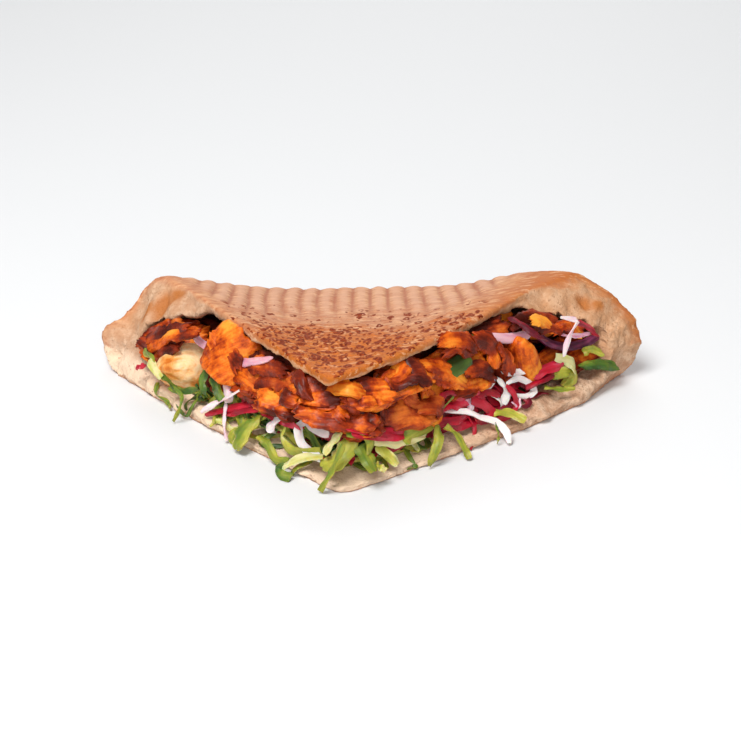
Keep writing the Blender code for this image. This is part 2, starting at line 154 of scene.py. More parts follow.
def writePoints(mesh, points):
    mesh.vertices.foreach_set("co", np.asarray(points, dtype=float).ravel())
    mesh.update()


def paint(mesh, name, values):
    # a number or a vector at each point, for the materials to read
    values = np.asarray(values, dtype=float)
    kind, word = ("FLOAT", "value") if values.ndim == 1 else ("FLOAT_VECTOR", "vector")
    mesh.attributes.new(name, kind, "POINT").data.foreach_set(word, values.ravel())


def finishPiece(piece, material, slotName, *replaced):
    piece.data.materials.clear()
    piece.data.materials.append(material)
    pickOnly(piece)
    bpy.ops.object.shade_smooth()
    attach(piece, "root")
    if replaced:
        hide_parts(*replaced)
    return piece


# handling of shader nodes

def add(tree, kind, inputs=None, **settings):
    made = tree.nodes.new("ShaderNode" + kind)
    for name, value in settings.items():
        setattr(made, name, value)
    for name, value in (inputs or {}).items():
        if isinstance(value, bpy.types.NodeSocket):
            tree.links.new(value, made.inputs[name])
        else:
            made.inputs[name].default_value = value
    return made


def calc(tree, operation, *values):
    return add(tree, "Math", dict(enumerate(values)), operation=operation).outputs[0]


def total(tree, start, *parts):
    # start, with each value added as many times as its weight says
    for value, weight in parts:
        start = calc(tree, "MULTIPLY_ADD", value, weight, start)
    return start


def mixed(tree, share, first, second):
    # inputs 0, 6 and 7 of a colour Mix node are its factor and its two colours
    return add(tree, "Mix", {0: share, 6: first, 7: second}, data_type="RGBA").outputs[2]


def layTones(tree, colour, layers):
    # each layer is a mask, a strength and a colour that lies over the ones before it
    for mask, strength, over in layers:
        colour = mixed(tree, calc(tree, "MULTIPLY", mask, strength), colour, over)
    return colour


def toneRamp(tree, level, tones, places=None):
    # a run of tones, evenly spread where no places are given
    made = add(tree, "ValToRGB", {"Fac": level})
    stops = made.color_ramp.elements
    for i, colour in enumerate(tones):
        where = places[i] if places else i / (len(tones) - 1)
        stop = stops[i] if i < 2 else stops.new(where)
        stop.position = where
        stop.color = tone(*colour)
    return made.outputs["Color"]


def softStep(tree, value, low, high):
    made = add(tree, "MapRange", {"Value": value, "From Min": low, "From Max": high},
               interpolation_type="SMOOTHSTEP")
    return made.outputs["Result"]


def painted(tree, name, output="Fac"):
    return add(tree, "Attribute", attribute_name=name).outputs[output]


def stretched(tree, vector, scale):
    return add(tree, "Mapping", {"Vector": vector, "Scale": scale}).outputs[0]


def grain(tree, vector, scale, detail=2.0, rough=0.5):
    made = add(tree, "TexNoise", {"Vector": vector, "Scale": scale, "Detail": detail,
                                  "Roughness": rough})
    return made.outputs["Fac"]


def newGroup(name, inputs, outputs):
    group = bpy.data.node_groups.new(name, "ShaderNodeTree")
    for label, kind in inputs.items():
        group.interface.new_socket(label, in_out="INPUT", socket_type="NodeSocket" + kind)
    for label in outputs:
        group.interface.new_socket(label, in_out="OUTPUT", socket_type="NodeSocketFloat")
    return group, group.nodes.new("NodeGroupInput").outputs, group.nodes.new("NodeGroupOutput").inputs


def useGroup(tree, group, inputs):
    return add(tree, "Group", inputs, node_tree=group).outputs


def newLook(name, **settings):
    material = bpy.data.materials.new(name)
    material.use_nodes = True
    tree = material.node_tree
    shader = tree.nodes["Principled BSDF"]
    for label, value in settings.items():
        shader.inputs[label.replace("_", " ")].default_value = value
    return material, tree, shader


def bumpInto(tree, shader, height, strength, distance):
    bump = add(tree, "Bump", {"Height": height, "Strength": strength, "Distance": distance * mm})
    tree.links.new(bump.outputs["Normal"], shader.inputs["Normal"])


# camera, floor and light

studio = {
    "target": (-0.4, -8.0, 19.1), "distance": 850, "elevation": 25, "lens": 103.2, "clipStart": 50,
    "floorSide": 8000, "floorTone": (228, 229, 230), "skyStrength": 0.3,
    # place in metres, side in metres and power in watts
    "lamps": {"keyLamp": ((-0.35, -0.55, 1.2), 0.6, 17.5), "fillLamp": ((0.1, -1.2, 0.55), 0.8, 4.5),
              "backLamp": ((0.1, 1.0, 0.75), 0.8, 4.0)},
}


def makeStudio():
    aim = Vector(studio["target"]) * mm
    up = math.radians(studio["elevation"])
    back = Vector((0, -math.cos(up), math.sin(up))) * studio["distance"] * mm
    bpy.ops.object.camera_add(location=aim + back, rotation=(math.pi / 2 - up, 0, 0))
    camera = bpy.context.object
    camera.data.lens = studio["lens"]
    camera.data.clip_start = studio["clipStart"] * mm
    bpy.context.scene.camera = camera
    bpy.ops.mesh.primitive_plane_add(size=studio["floorSide"] * mm, location=(0, 0, 0))
    floor = bpy.context.object
    floor.name = "floor"
    floor.data.materials.append(newLook("floorLook", Base_Color=tone(*studio["floorTone"]),
                                        Roughness=0.7)[0])
    for name, (spot, side, power) in studio["lamps"].items():
        bpy.ops.object.light_add(type="AREA", location=spot)
        lamp = bpy.context.object
        lamp.name = name
        lamp.data.size = side
        lamp.data.energy = power
        lamp.rotation_euler = (-Vector(spot)).to_track_quat("-Z", "Y").to_euler()
    world = bpy.data.worlds.new("studioWorld")
    world.use_nodes = True
    sky = world.node_tree.nodes["Background"].inputs
    sky["Color"].default_value = (1.0, 1.0, 1.0, 1.0)
    sky["Strength"].default_value = studio["skyStrength"]
    bpy.context.scene.world = world
    bpy.context.scene.view_settings.view_transform = "Standard"


makeStudio()
print("studio ready")

# bread

bread = {
    "voxel": 1.25, "evening": 4, "roofTip": (-5, 10, 45), "floorTop": 9.0, "taperTop": 11,
    "pocketBase": 7, "ribSmoothing": 45, "ribPitch": 7.3, "ribHeight": 0.45,
    # the finer mesh: how far in from the cuts, and how near the roof's tip and above what height
    "fineCut": 14, "fineTip": 85, "fineAbove": 20,
    # width and depth of the crumb's hollows; the widest are lumps
    "poreSizes": ((9.5, -1.5), (4.6, 0.7), (2.2, 0.45)), "lumpWidth": 5,
    # place, reach and push along the surface: hollows are negative, swellings positive
    "shaping": [
        ((-90, 120, 24), 15, -4.2), ((-77, 110, 33), 9, -3.2), ((-71, 108, 37), 6, -1.5),
        ((-84, 108, 25), 8, 1.8), ((-70, 101, 32), 8, 1.6), ((-101, 119, 14), 10, 3.2),
        ((-98, 111, 7), 4.5, -2.6), ((98, 101, 36), 6, -2.4), ((108, 98, 29), 8, -1.6),
        ((104, 98, 18), 7, 1.4), ((113, 98, 13), 7, -1.5), ((76, 66, 7), 8, 2.4), ((95, 82, 7), 10, 2.6),
        ((104, 88, 9), 7, 1.8), ((121, 106, 23), 2.4, -1.4), ((84, 92, 40), 7, -1.0),
        ((-90, 98, 7), 8, 1.6), ((-72, 76, 6), 7, -1.2), ((-60, 62, 6), 9, 1.4),
        ((-36, 38, 6), 6, -1.0), ((-14, 14, 6), 7, 1.0), ((24, 20, 6), 6, -1.0),
        ((48, 38, 6), 7, 1.2), ((62, 49, 6), 5, -1.2)],
    # place, reach and shift: the soft crumb that hangs over the two mouths
    "droop": [((-92, 112, 18), 9, (0.5, -1.5, -1.5)), ((-86, 107, 24), 10, (0.5, -1.5, -2.5)),
              ((-79, 103, 29), 11, (0.5, -2, -3.5)), ((-71, 100, 33), 11, (0, -2, -3.5)),
              ((-64, 97, 35), 10, (0, -1.5, -2.5)), ((82, 89, 39), 11, (0, -1.5, -4)),
              ((92, 92, 35), 11, (0, -1.5, -4.5)), ((100, 93, 31), 11, (-0.5, -1.5, -3)),
              ((107, 95, 26), 9, (-1, -1, -2))],
    # place and reach of the painted shade in the crumb's deepest hollows at the two mouths
    "shadedHollows": [((-77, 110, 33), 9), ((-71, 109, 36), 8), ((-84, 112, 28), 6), ((98, 101, 37), 5.5),
                ((104, 102, 34.5), 5)],
    # place, reach within which the scorch marks are thickest, reach of the last ones and density
    "toasted": [((-7, 42, 46), 26, 54, 1.0), ((42, 62, 46), 8, 22, 0.85), ((0, 50, 46), 40, 88, 0.34)],
}


def makeBread():
    cad = nodes["bread"]
    cadTree = BVHTree.FromObject(cad, bpy.context.evaluated_depsgraph_get())
    crustTree = outerTree(cad)
    piece = copyOfNode("bread", "flatbread")
    evenSkin(piece, bread["voxel"], bread["evening"])
    fineSkin(piece, cadTree)
    points, normals = readPoints(piece.data), readPoints(piece.data, "normal")
    shaping = [(place(at), reach * mm, push * mm) for at, reach, push in bread["shaping"]]
    droop = [(place(at), reach * mm, Vector(shift) * mm) for at, reach, shift in bread["droop"]]
    shadedHollows = [(place(at), reach * mm) for at, reach in bread["shadedHollows"]]
    toasted = [(place(at), full * mm, last * mm, share) for at, full, last, share in bread["toasted"]]
    moved, masks = [], []
    for co, skin, lift in zip(points, normals, ribRelief(piece, points, normals)):
        co, skin = Vector(co), Vector(skin)
        flat = cadTree.find_nearest(co)[1]
        depth = crustTree.find_nearest(co)[3]
        crumb, cut = crumbShare(co, flat, depth)
        crust = 1 - crumb
        lip = {side: (co - corner).dot(facing) for side, facing in cutFacing.items()}
        spots = ramp(0.2, 0.7, skin.z) * crust
        spots *= max(share * ramp(last, full, (co - at).length) for at, full, last, share in toasted)
        move, rib = Vector(), 0.0
        if crumb > 0.02:
            move += crumbMove(co, skin, crumb, cut, depth)
        if crumb < 0.98:
            for part in crustMoves(co, skin * crust, spots):
                move += part
            reach = crust * ribReach(co, skin)
            rib = reach * bakedRib(co)
            move += skin * (bread["ribHeight"] * mm * rib - reach * lift)
        for at, reach, push in shaping:
            away = (co - at).length
            if away < reach:
                move += skin * push * ramp(reach, 0.0, away)
        if crumb > 0.5:
            sag = [(ramp(reach, 0.0, (co - at).length), shift) for at, reach, shift in droop]
            share, shift = max(sag, key=lambda row: row[0])
            move += shift * share * (1 + 0.35 * wobble(co, 7))
        new = co + move
        if co.z < bread["taperTop"] * mm:
            new.z *= floorShare(co, lip)
        if co.z < 0.6 * mm or flat.z < -0.9 and co.z < 3 * mm:
            new.z = max(new.z, 0.02 * mm)  # the underside stays on the table
        moved.append(new)
        # painted shade in the crumb's deepest hollows
        sugar = crumb * max(ramp(reach, 0.3 * reach, (co - at).length) for at, reach in shadedHollows)
        # pale is painted light: the low crumb at the front and towards the left end is lightened to look
        # brightly lit
        pale = crumb * fade(12, 7, co.z) * fade(70, 20, (co - corner).x)
        masks.append((crumb, goldenShare(co, lip), spots, sugar, 0.5 + 0.5 * rib, pale))
    writePoints(piece.data, moved)
    for name, values in zip(breadMasks, zip(*masks)):
        paint(piece.data, name, values)
    return finishPiece(piece, breadLook(), "crust", "bread")


def outerTree(cad):
    # the crust side of the plain solid alone, to measure how far in from it a point lies
    bm = bmesh.new()
    bm.from_mesh(cad.data)
    inner = [f for f in bm.faces if not isOuter(f.calc_center_median(), f.normal)]
    bmesh.ops.delete(bm, geom=inner, context="FACES")
    tree = BVHTree.FromBMesh(bm)
    bm.free()
    return tree


def isOuter(co, flat):
    return cutShare(flat) < 0.5 and insideShare(co, flat) < 0.5


def cutShare(flat):
    sideways = Vector((flat.x, flat.y, 0))
    return ramp(0.12, 0.28, max(sideways.dot(facing) for facing in cutFacing.values()))


def insideShare(co, flat):
    # the pocket's floor, roof and hinge; flat is the plain solid's normal
    away = co - corner
    outwards = Vector((away.x, away.y, 0)).normalized()
    if flat.z > 0.25 and co.z < bread["floorTop"] * mm:
        return 1.0
    overhead = flat.z < -0.25 and co.z > bread["pocketBase"] * mm and flat.dot(outwards) < 0.2
    return 1.0 if overhead else 0.0


def crumbShare(co, flat, depth):
    # crumb shows on the two cuts and on every wall of the pocket, inside a ragged rim of crust
    # that is wider along the roof's tip, at both far ends and round the right mouth
    cut = cutShare(flat)
    ragged = 1 + 0.35 * wobble(co, 3.5) + 0.25 * wobble(co, 1.7)
    away = (co - corner).length
    width = 0.5 + 2.4 * fade(128, 150, away)
    width += 2.1 * fade(125, 100, away) * fade(26, 32, co.z)
    width += 1.8 * fade(90, 104, co.x) * fade(8, 14, co.z)
    width += 2.2 * fade(70, 84, co.x) * fade(26, 36, co.z)
    if co.z < bread["pocketBase"] * mm:
        width = max(width, 1.3)
    soft = fade(110, 140, away)
    rim = ramp(0.75 - 0.45 * soft, 1.25 + 0.8 * soft, depth / (width * ragged * mm))
    return max(cut * rim, insideShare(co, flat)), cut


def goldenShare(co, lip):
    # the crust is browner at the roof's tip, at both ends and along its lips
    away = co - corner
    rightwards = away.normalized().x
    share = max(fade(85, 30, (co - place(bread["roofTip"])).length),
                0.85 * ramp(0.40, 0.62, rightwards),
                0.5 * ramp(-0.35, -0.62, rightwards),
                0.9 * fade(-24, -6, lip["right"]) * fade(130, 70, away.length),
                0.4 * fade(-16, -4, lip["left"]))
    return share * fade(8, 22, co.z)


def crumbMove(co, skin, crumb, cut, depth):
    # hollows, lumps and a torn edge, which fade out next to the crust
    soft = crumb * fade(1.2, 5, depth if co.z > bread["floorTop"] * mm else depth * 3)
    farEnd = fade(125, 145, (co - corner).length)
    move = Vector()
    for width, deep in bread["poreSizes"]:
        calm = 1 - 0.6 * farEnd if width > bread["lumpWidth"] else 1
        move -= skin * deep * calm * mm * soft * ramp(0.55, 0.05, cellDistance(co, width))
    move += skin * 0.6 * mm * soft * wobble(co, 7)
    move += noise.noise_vector(co / (3.2 * mm)) * 0.35 * mm * soft
    move += noise.noise_vector(co / (11 * mm)) * 1.1 * mm * cut * soft
    return move


def crustMoves(co, push, spots):
    # gentle waves, and blisters where the crust is toasted
    blister = ramp(0.5, 0.1, cellDistance(co, 4.2))
    return (push * 0.35 * mm * wobble(co, 14), push * 0.12 * mm * wobble(co, 4),
            push * spots * 0.55 * mm * blister)


def cellDistance(co, width):
    return noise.voronoi(co / (width * mm))[0][0]


def floorShare(co, lip):
    # the floor thins towards its two cuts, most of all at the front corner
    near = fade(80, 15, (co - corner).length)
    return 1 - (0.45 + 0.2 * near) * fade(-11 - 11 * near, 0, max(lip.values()))


def ribRelief(piece, points, normals):
    # how far each point stands above a well smoothed copy of the skin
    smooth = newObject("smoothCopy", piece.data.copy())
    finishModifier(smooth, "SMOOTH", factor=0.5, iterations=bread["ribSmoothing"])
    lift = ((points - readPoints(smooth.data)) * normals).sum(axis=1)
    bpy.data.objects.remove(smooth)
    return lift


def bakedRib(co):
    # broad crests and narrow valleys, side by side from left to right
    turn = co.x / (bread["ribPitch"] * mm) + 0.25 * wobble(co, 40)
    wave = abs(math.sin(math.pi * turn))
    return 2 * wave ** 0.8 - 1.2


def ribReach(co, skin):
    # the ribs cross the baked hinge and die out on the roof and at both ends
    away = co - corner
    turn = math.atan2(away.y, away.x)
    ends = ramp(1.03, 1.13, turn) * ramp(2.10, 2.02, turn)
    return ends * fade(84, 122, away.length) * ramp(-0.5, 0.2, skin.z)


def fineSkin(piece, cadTree):
    # the cuts and the toasted part of the roof get a finer mesh than the rest
    mesh = piece.data
    tip = place(bread["roofTip"])
    for face in mesh.polygons:
        co = Vector(face.center)
        flat = cadTree.find_nearest(co)[1]
        behind = -max((co - corner).dot(facing) for facing in cutFacing.values())
        nearCut = behind < bread["fineCut"] * mm
        floorRim = nearCut and flat.z > 0.3 and co.z < bread["floorTop"] * mm
        nearTip = (co - tip).length < bread["fineTip"] * mm
        toasted = flat.z > 0.5 and co.z > bread["fineAbove"] * mm and nearTip
        face.select = (cutShare(flat) > 0.5 and nearCut) or floorRim or toasted
    pickOnly(piece)
    bpy.ops.object.mode_set(mode="EDIT")
    bpy.ops.mesh.select_mode(type="FACE")
    bpy.ops.mesh.subdivide(number_cuts=1, smoothness=0.0)
    bpy.ops.object.mode_set(mode="OBJECT")
    print("bread skin faces", len(mesh.polygons))


def toastMarks():
    # scorched blisters, where Density lets them show: broken rings and small blots
    group, put, out = newGroup("toastMarks", {"Vector": "Vector", "Density": "Float"},
                               ["Mark", "Height"])
    warp = add(group, "TexNoise", {"Vector": put["Vector"], "Scale": 380.0, "Detail": 2.0})
    bent = add(group, "VectorMath", {0: warp.outputs["Color"], 1: (0.0026, 0.0026, 0.0026),
                                     2: put["Vector"]}, operation="MULTIPLY_ADD").outputs[0]
    weight = grain(group, put["Vector"], 560.0, 1.0)
    patches = grain(group, put["Vector"], 80.0, 3.0, 0.6)
    level = total(group, -0.65, (put["Density"], 1.2), (patches, 1.3))
    drawn = []
    for scale, middle, least in ((300.0, 0.30, 0.02), (520.0, 0.0, 0.24)):
        cells = add(group, "TexVoronoi", {"Vector": bent, "Scale": scale, "Randomness": 1.0}).outputs
        chance = add(group, "SeparateColor", {"Color": cells["Color"]}).outputs["Red"]
        showing = softStep(group, calc(group, "SUBTRACT", level, chance), 0.06, 0.22)
        off = calc(group, "ABSOLUTE", calc(group, "SUBTRACT", cells["Distance"], middle))
        line = softStep(group, total(group, off, (weight, -0.22)), least + 0.06, least - 0.06)
        drawn.append(calc(group, "MULTIPLY", line, showing))
        if middle:
            dome = softStep(group, cells["Distance"], 0.5, 0.1)
            group.links.new(calc(group, "MULTIPLY", dome, showing), out["Height"])
    mark = calc(group, "MAXIMUM", drawn[0], calc(group, "MULTIPLY", drawn[1], 0.9))
    mark = calc(group, "MULTIPLY", mark, softStep(group, put["Density"], 0.02, 0.2))
    group.links.new(mark, out["Mark"])
    return group


breadMasks = ("crumb", "golden", "spots", "sugar", "rib", "pale")


def breadLook():
    material, tree, shader = newLook("breadLook", Roughness=0.6, Specular_IOR_Level=0.06)
    spot = add(tree, "TexCoord").outputs["Object"]
    crumb, golden, spots, sugar, rib, pale = (painted(tree, name) for name in breadMasks)
    marks = useGroup(tree, toastMarks(), {"Vector": stretched(tree, spot, (0.85, 0.52, 1.0)),
                                          "Density": spots})
    broad = grain(tree, spot, 60.0, 3.0, 0.6)
    middle = grain(tree, spot, 210.0, 3.0, 0.6)
    fine = grain(tree, spot, 900.0, 3.0, 0.65)
    wrinkles = grain(tree, stretched(tree, spot, (0.3, 1.0, 1.0)), 460.0, 3.0, 0.6)
    light = mixed(tree, golden, tone(222, 172, 132), tone(216, 142, 64))
    scorch = mixed(tree, softStep(tree, fine, 0.35, 0.65), tone(104, 34, 12), tone(158, 68, 30))
    speckle = calc(tree, "MULTIPLY", spots, softStep(tree, fine, 0.52, 0.64))
    crust = layTones(tree, mixed(tree, golden, tone(202, 148, 116), tone(186, 102, 34)), [
        (softStep(tree, broad, 0.42, 0.68), total(tree, 0.65, (golden, -0.4)), light),
        (softStep(tree, middle, 0.48, 0.7), total(tree, 0.2, (golden, 0.35)), tone(186, 98, 44)),
        (softStep(tree, middle, 0.3, 0.65), spots, tone(198, 108, 44)),
        (softStep(tree, wrinkles, 0.53, 0.66), 0.6, tone(172, 102, 66)),
        (softStep(tree, wrinkles, 0.47, 0.36), 0.5, tone(236, 190, 148)),
        (speckle, 0.75, tone(150, 70, 30)),
        # painted shade along the rib valleys and a painted highlight along the rib crests
        (softStep(tree, rib, 0.6, 0.0), 0.8, tone(172, 106, 80)),
        (softStep(tree, rib, 0.5, 0.9), 0.55, tone(222, 172, 142)),
        (marks["Mark"], 1.1, scorch)])
    pores = add(tree, "TexVoronoi", {"Vector": spot, "Scale": 620.0}).outputs["Distance"]
    # the pores' pits: their darker tone is painted shade in the hollows, and they also sink the bump
    pits = calc(tree, "MULTIPLY", softStep(tree, pores, 0.32, 0.12), softStep(tree, middle, 0.4, 0.6))
    inner = mixed(tree, softStep(tree, middle, 0.35, 0.7), tone(192, 150, 120), tone(226, 192, 162))
    inner = layTones(tree, inner, [
        (softStep(tree, fine, 0.5, 0.72), 0.5, tone(170, 120, 88)),
        (softStep(tree, broad, 0.5, 0.7), 0.35, tone(202, 142, 96)),
        # pale lays painted light on the low crumb at the front and left
        (pale, 0.85, tone(246, 216, 186)), (pits, 0.5, tone(156, 104, 74)),
        # painted shade darkens the crumb's deepest hollows
        (golden, 0.5, tone(206, 146, 94)), (sugar, 0.85, tone(184, 108, 46))])
    tree.links.new(mixed(tree, crumb, crust, inner), shader.inputs["Base Color"])
    tree.links.new(total(tree, 0.56, (crumb, 0.34)), shader.inputs["Roughness"])
    height = total(tree, 0.0, (fine, total(tree, 0.3, (crumb, 0.9))),
                   (calc(tree, "MULTIPLY", pits, crumb), -0.5), (marks["Height"], 0.6),
                   (middle, 0.5), (wrinkles, 0.6))
    bumpInto(tree, shader, height, 0.6, 1.0)
    return material


flatbread = makeBread()
print("bread ready")

# roasted meat

roast = {
    "voxel": 0.75, "evening": 2, "fibreDepth": 0.38, "fibreWidth": 1.7, "fibreLength": 12,
    "tear": 2.6, "tearSize": (1.3, 2.5), "fray": 0.8, "lump": 1.6, "lumpWidth": 8, "crease": 1.0,
    "foldLength": 14, "foldWidth": 8, "scorchWidth": 9,
    "smooth": ("meat_lobe_left", "meat_finger", "chicken_chunk", "meat_wedge_right"),
    "swell": {"chicken_chunk": 1.2, "meat_lobe_left": 0.6, "meat_finger": 0.8},
    "dark": {"meat_tan_bit": 0.5, "meat_wedge_right": 0.15, "meat_lobe_left": -0.3,
             "meat_finger": -0.15, "chicken_chunk": -0.1},
}
roastTones = {  # from scorched to light
    "orange": ((88, 24, 8), (152, 48, 12), (220, 100, 20), (248, 156, 50)),
    "brown": ((70, 18, 8), (116, 34, 12), (170, 62, 18), (222, 114, 40)),
    "pale": ((206, 112, 34), (234, 160, 84), (246, 200, 144), (250, 222, 178)),
}
meatNodes = {
    "orange": ["meat_back_left", "meat_lobe_left", "meat_slab_left", "meat_front_left",
               "meat_front_right", "meat_front_low", "meat_yellow_bit", "meat_arch",
               "meat_ragged_right", "meat_wedge_right", "meat_finger"],
    "brown": ["meat_dark_left", "meat_shred_left", "meat_ragged_left", "meat_cluster",
              "meat_under_roof", "meat_finger_dark", "meat_brown_bit"],
    "pale": ["chicken_chunk", "meat_tan_bit"],
}
meatSlots = {"orange": "meat_orange", "brown": "meat_brown", "pale": "chicken"}


def joinTree(pieces):
    # one search tree over several pieces, and which piece each face belongs to
    corners, faces, owners = [], [], []
    for piece in pieces:
        first = len(corners)
        corners += [v.co.copy() for v in piece.data.vertices]
        faces += [[first + v for v in face.vertices] for face in piece.data.polygons]
        owners += [piece.name] * len(piece.data.polygons)
    return BVHTree.FromPolygons(corners, faces), owners


def fibreGrain():
    # strands that run along the first axis of Vector, paler where less scorched and where less shade is
    # painted
    group, put, out = newGroup("fibreGrain", {"Vector": "Vector", "Char": "Float"},
                               ["Light", "Height"])
    strands = grain(group, stretched(group, put["Vector"], (0.12, 1.0, 1.0)), 820.0, 3.0, 0.6)
    blotch = grain(group, put["Vector"], 75.0, 4.0, 0.58)
    fine = grain(group, put["Vector"], 760.0, 2.0, 0.6)
    group.links.new(total(group, -0.92, (strands, 0.55), (blotch, 1.9), (fine, 0.3), (put["Char"], -0.6)),
                    out["Light"])
    group.links.new(total(group, 0.0, (strands, 0.8), (fine, 0.7), (blotch, 0.8)), out["Height"])
    return group


fibreGroup = fibreGrain()


def roastLook(kind):
    material, tree, shader = newLook(kind + "Roast", Specular_IOR_Level=0.15, Coat_Weight=0.08,
                                     Coat_Roughness=0.22, Subsurface_Weight=0.12,
                                     Subsurface_Scale=0.004, Subsurface_Radius=(1.0, 0.35, 0.12))
    strands = useGroup(tree, fibreGroup, {"Vector": painted(tree, "grain", "Vector"),
                                          "Char": painted(tree, "char")})
    colour = toneRamp(tree, strands["Light"], roastTones[kind], (0.08, 0.32, 0.54, 0.84))
    tree.links.new(colour, shader.inputs["Base Color"])
    rough = total(tree, 0.34, (softStep(tree, strands["Light"], 0.2, 0.8), 0.2))
    tree.links.new(rough, shader.inputs["Roughness"])
    bumpInto(tree, shader, strands["Height"], 0.6, 0.7)
    return material


roastLooks = {kind: roastLook(kind) for kind in roastTones}


def makeRoast(nodeName, kind, seed):
    piece = copyOfNode(nodeName, nodeName + "_roast")
    evenSkin(piece, roast["voxel"], roast["evening"])
    points, normals = readPoints(piece.data), readPoints(piece.data, "normal")
    centre = points.mean(axis=0)
    axes = np.linalg.svd(points - centre, full_matrices=False)[2]  # lengthwise, sideways, through
    local = (points - centre) @ axes.T
    half = np.abs(local).max(axis=0)
    lengthwise = Vector(axes[0])
    shift = Vector((seed * 3.7, seed * 1.3, -seed * 2.1))
    coarse = 0.3 if nodeName in roast["smooth"] else 1.0
    swell, dark = roast["swell"].get(nodeName, 0), roast["dark"].get(nodeName, 0.1 * coarse)
    across, along = roast["fibreWidth"] * mm, roast["fibreLength"] * mm
    foldAcross, foldAlong = roast["foldWidth"] * mm, roast["foldLength"] * mm
    tearAcross, tearDeep = (size * mm for size in roast["tearSize"])
    moved, charsAndShade = [], []
    for co, skin, (u, v, w) in zip(points, normals, local):
        co, skin = Vector(co), Vector(skin)
        endness = ramp(0.45, 1.0, abs(u) / half[0])
        sideness = ramp(0.5, 1.0, abs(v) / half[1])
        strand = Vector((u / along, v / across, w / across))
        ridge = 1 - 2 * abs(noise.noise(strand + shift))
        torn = ripple(seed, v / tearAcross, w / tearDeep)
        fold = Vector((u / foldAlong, v / foldAcross, w / foldAcross)) - shift
        crease = coarse * ramp(0.13, 0.0, abs(noise.noise(fold)))
        lump = noise.noise(co / (roast["lumpWidth"] * mm) + shift)
        fray = noise.noise(strand * 1.7 + shift)
        move = skin * (swell + roast["fibreDepth"] * coarse * (ridge - 0.5)) * mm
        move += skin * (roast["lump"] * lump * coarse - roast["crease"] * crease) * mm
        move += lengthwise * math.copysign(1, u) * endness * roast["tear"] * mm * coarse * torn
        move += skin * roast["fray"] * mm * sideness * coarse * fray
        moved.append(co + move)
        roof = breadTree.find_nearest(co)[3]
        shade = 0.4 * coarse * fade(7, 2, roof) + 0.15 * sideness ** 2  # painted shade under the bread's roof; scorched darker at the rim
        shade += coarse * 0.6 * noise.noise(co / (roast["scorchWidth"] * mm) - shift)
        if kind == "pale":
            shade += 0.7 * ramp(0.0, 0.9, (co - Vector(centre)).dot(Vector((0.6, 0, -0.8))) / half[1])
        # painted shade in the creases and a painted highlight on the fibre ridges, over the roast's own
        # scorching and tone
        charsAndShade.append(clampTo(shade + dark + 0.4 * crease - 0.2 * ridge, -0.3, 1.2))
    writePoints(piece.data, moved)
    paint(piece.data, "grain", local + seed)
    paint(piece.data, "char", charsAndShade)
    return finishPiece(piece, roastLooks[kind], meatSlots[kind], nodeName)


breadTree = joinTree([flatbread])[0]
for kind, names in meatNodes.items():
    for i, name in enumerate(names):
        makeRoast(name, kind, i + 1.0)
print("meat ready")

# strips: cabbage, lettuce, onion, pepper and meat shavings are all bent from flat bars

# faces along and across, thickness, share of the width left at the tips and how late it narrows,
# unevenness, waves of the edges and their height, curl, twist, tearing, fibres and lumps
stripWords = ("faces", "thick", "tip", "square", "uneven", "waves", "ruffle", "curl", "twist",
              "torn", "fibre", "lump")
stripStyles = {kind: dict(zip(stripWords, values)) for kind, values in {
    "cabbage": ((12, 3), 0.8, 0.5, 5, 0.4, 2.0, 0.35, 0.2, 1.0, 0.5, 0.0, 0.35),
    "lettuce": ((12, 3), 0.35, 0.75, 10, 0.22, 2.2, 0.4, 0.3, 1.0, 0.5, 0.0, 0.3),
    "leaf": ((28, 12), 0.8, 0.3, 3, 0.3, 3.0, 0.6, 0.35, 0.2, 0.7, 0.25, 0.4),
    "onion": ((28, 8), 1.5, 0.4, 6, 0.12, 0.6, 0.2, 0.25, 0.15, 0.3, 0.12, 0.2),
    "pepper": ((16, 10), 2.2, 0.55, 5, 0.15, 0.7, 0.5, 0.5, 0.2, 0.3, 0.0, 0.2),
    "shaving": ((22, 10), 1.7, 0.55, 5, 0.45, 0.9, 0.7, 0.2, 0.35, 2.6, 0.35, 0.9),
}.items()}

# sizes of a strip's unevenness, teeth, fibres, blots, torn ends and lumps
stripGrain = {"uneven": 5, "teeth": 1.8, "fibreLength": 9, "fibreWidth": 1.3, "blot": 6, "tear": 1.6,
              "lump": 7}


def flatBar(kind):
    # x and y run from -0.5 to 0.5 along and across the bar, and z through its thickness
    along, across = stripStyles[kind]["faces"]
    bpy.ops.object.select_all(action="DESELECT")
    bpy.ops.mesh.primitive_grid_add(x_subdivisions=along, y_subdivisions=across, size=1)
    bar = bpy.context.object
    finishModifier(bar, "SOLIDIFY", thickness=1.0, offset=0.0)
    bpy.ops.object.mode_set(mode="EDIT")
    bpy.ops.mesh.select_all(action="DESELECT")
    bpy.ops.mesh.edges_select_sharp(sharpness=math.radians(60))
    bpy.ops.mesh.mark_sharp()
    bpy.ops.object.mode_set(mode="OBJECT")
    return bar


def smoothLine(points, steps):
    # an even run of points on a smooth line through the given ones
    points = [Vector(p) for p in points]
    held = [2 * points[0] - points[1]] + points + [2 * points[-1] - points[-2]]
    line = []
    for i in range(steps + 1):
        t = i / steps * (len(points) - 1)
        k = min(int(t), len(points) - 2)
        a, b, c, d = held[k:k + 4]
        f = t - k
        line.append(0.5 * (2 * b + (c - a) * f + (2 * a - 5 * b + 4 * c - d) * f ** 2
                           + (3 * b - a - 3 * c + d) * f ** 3))
    return line


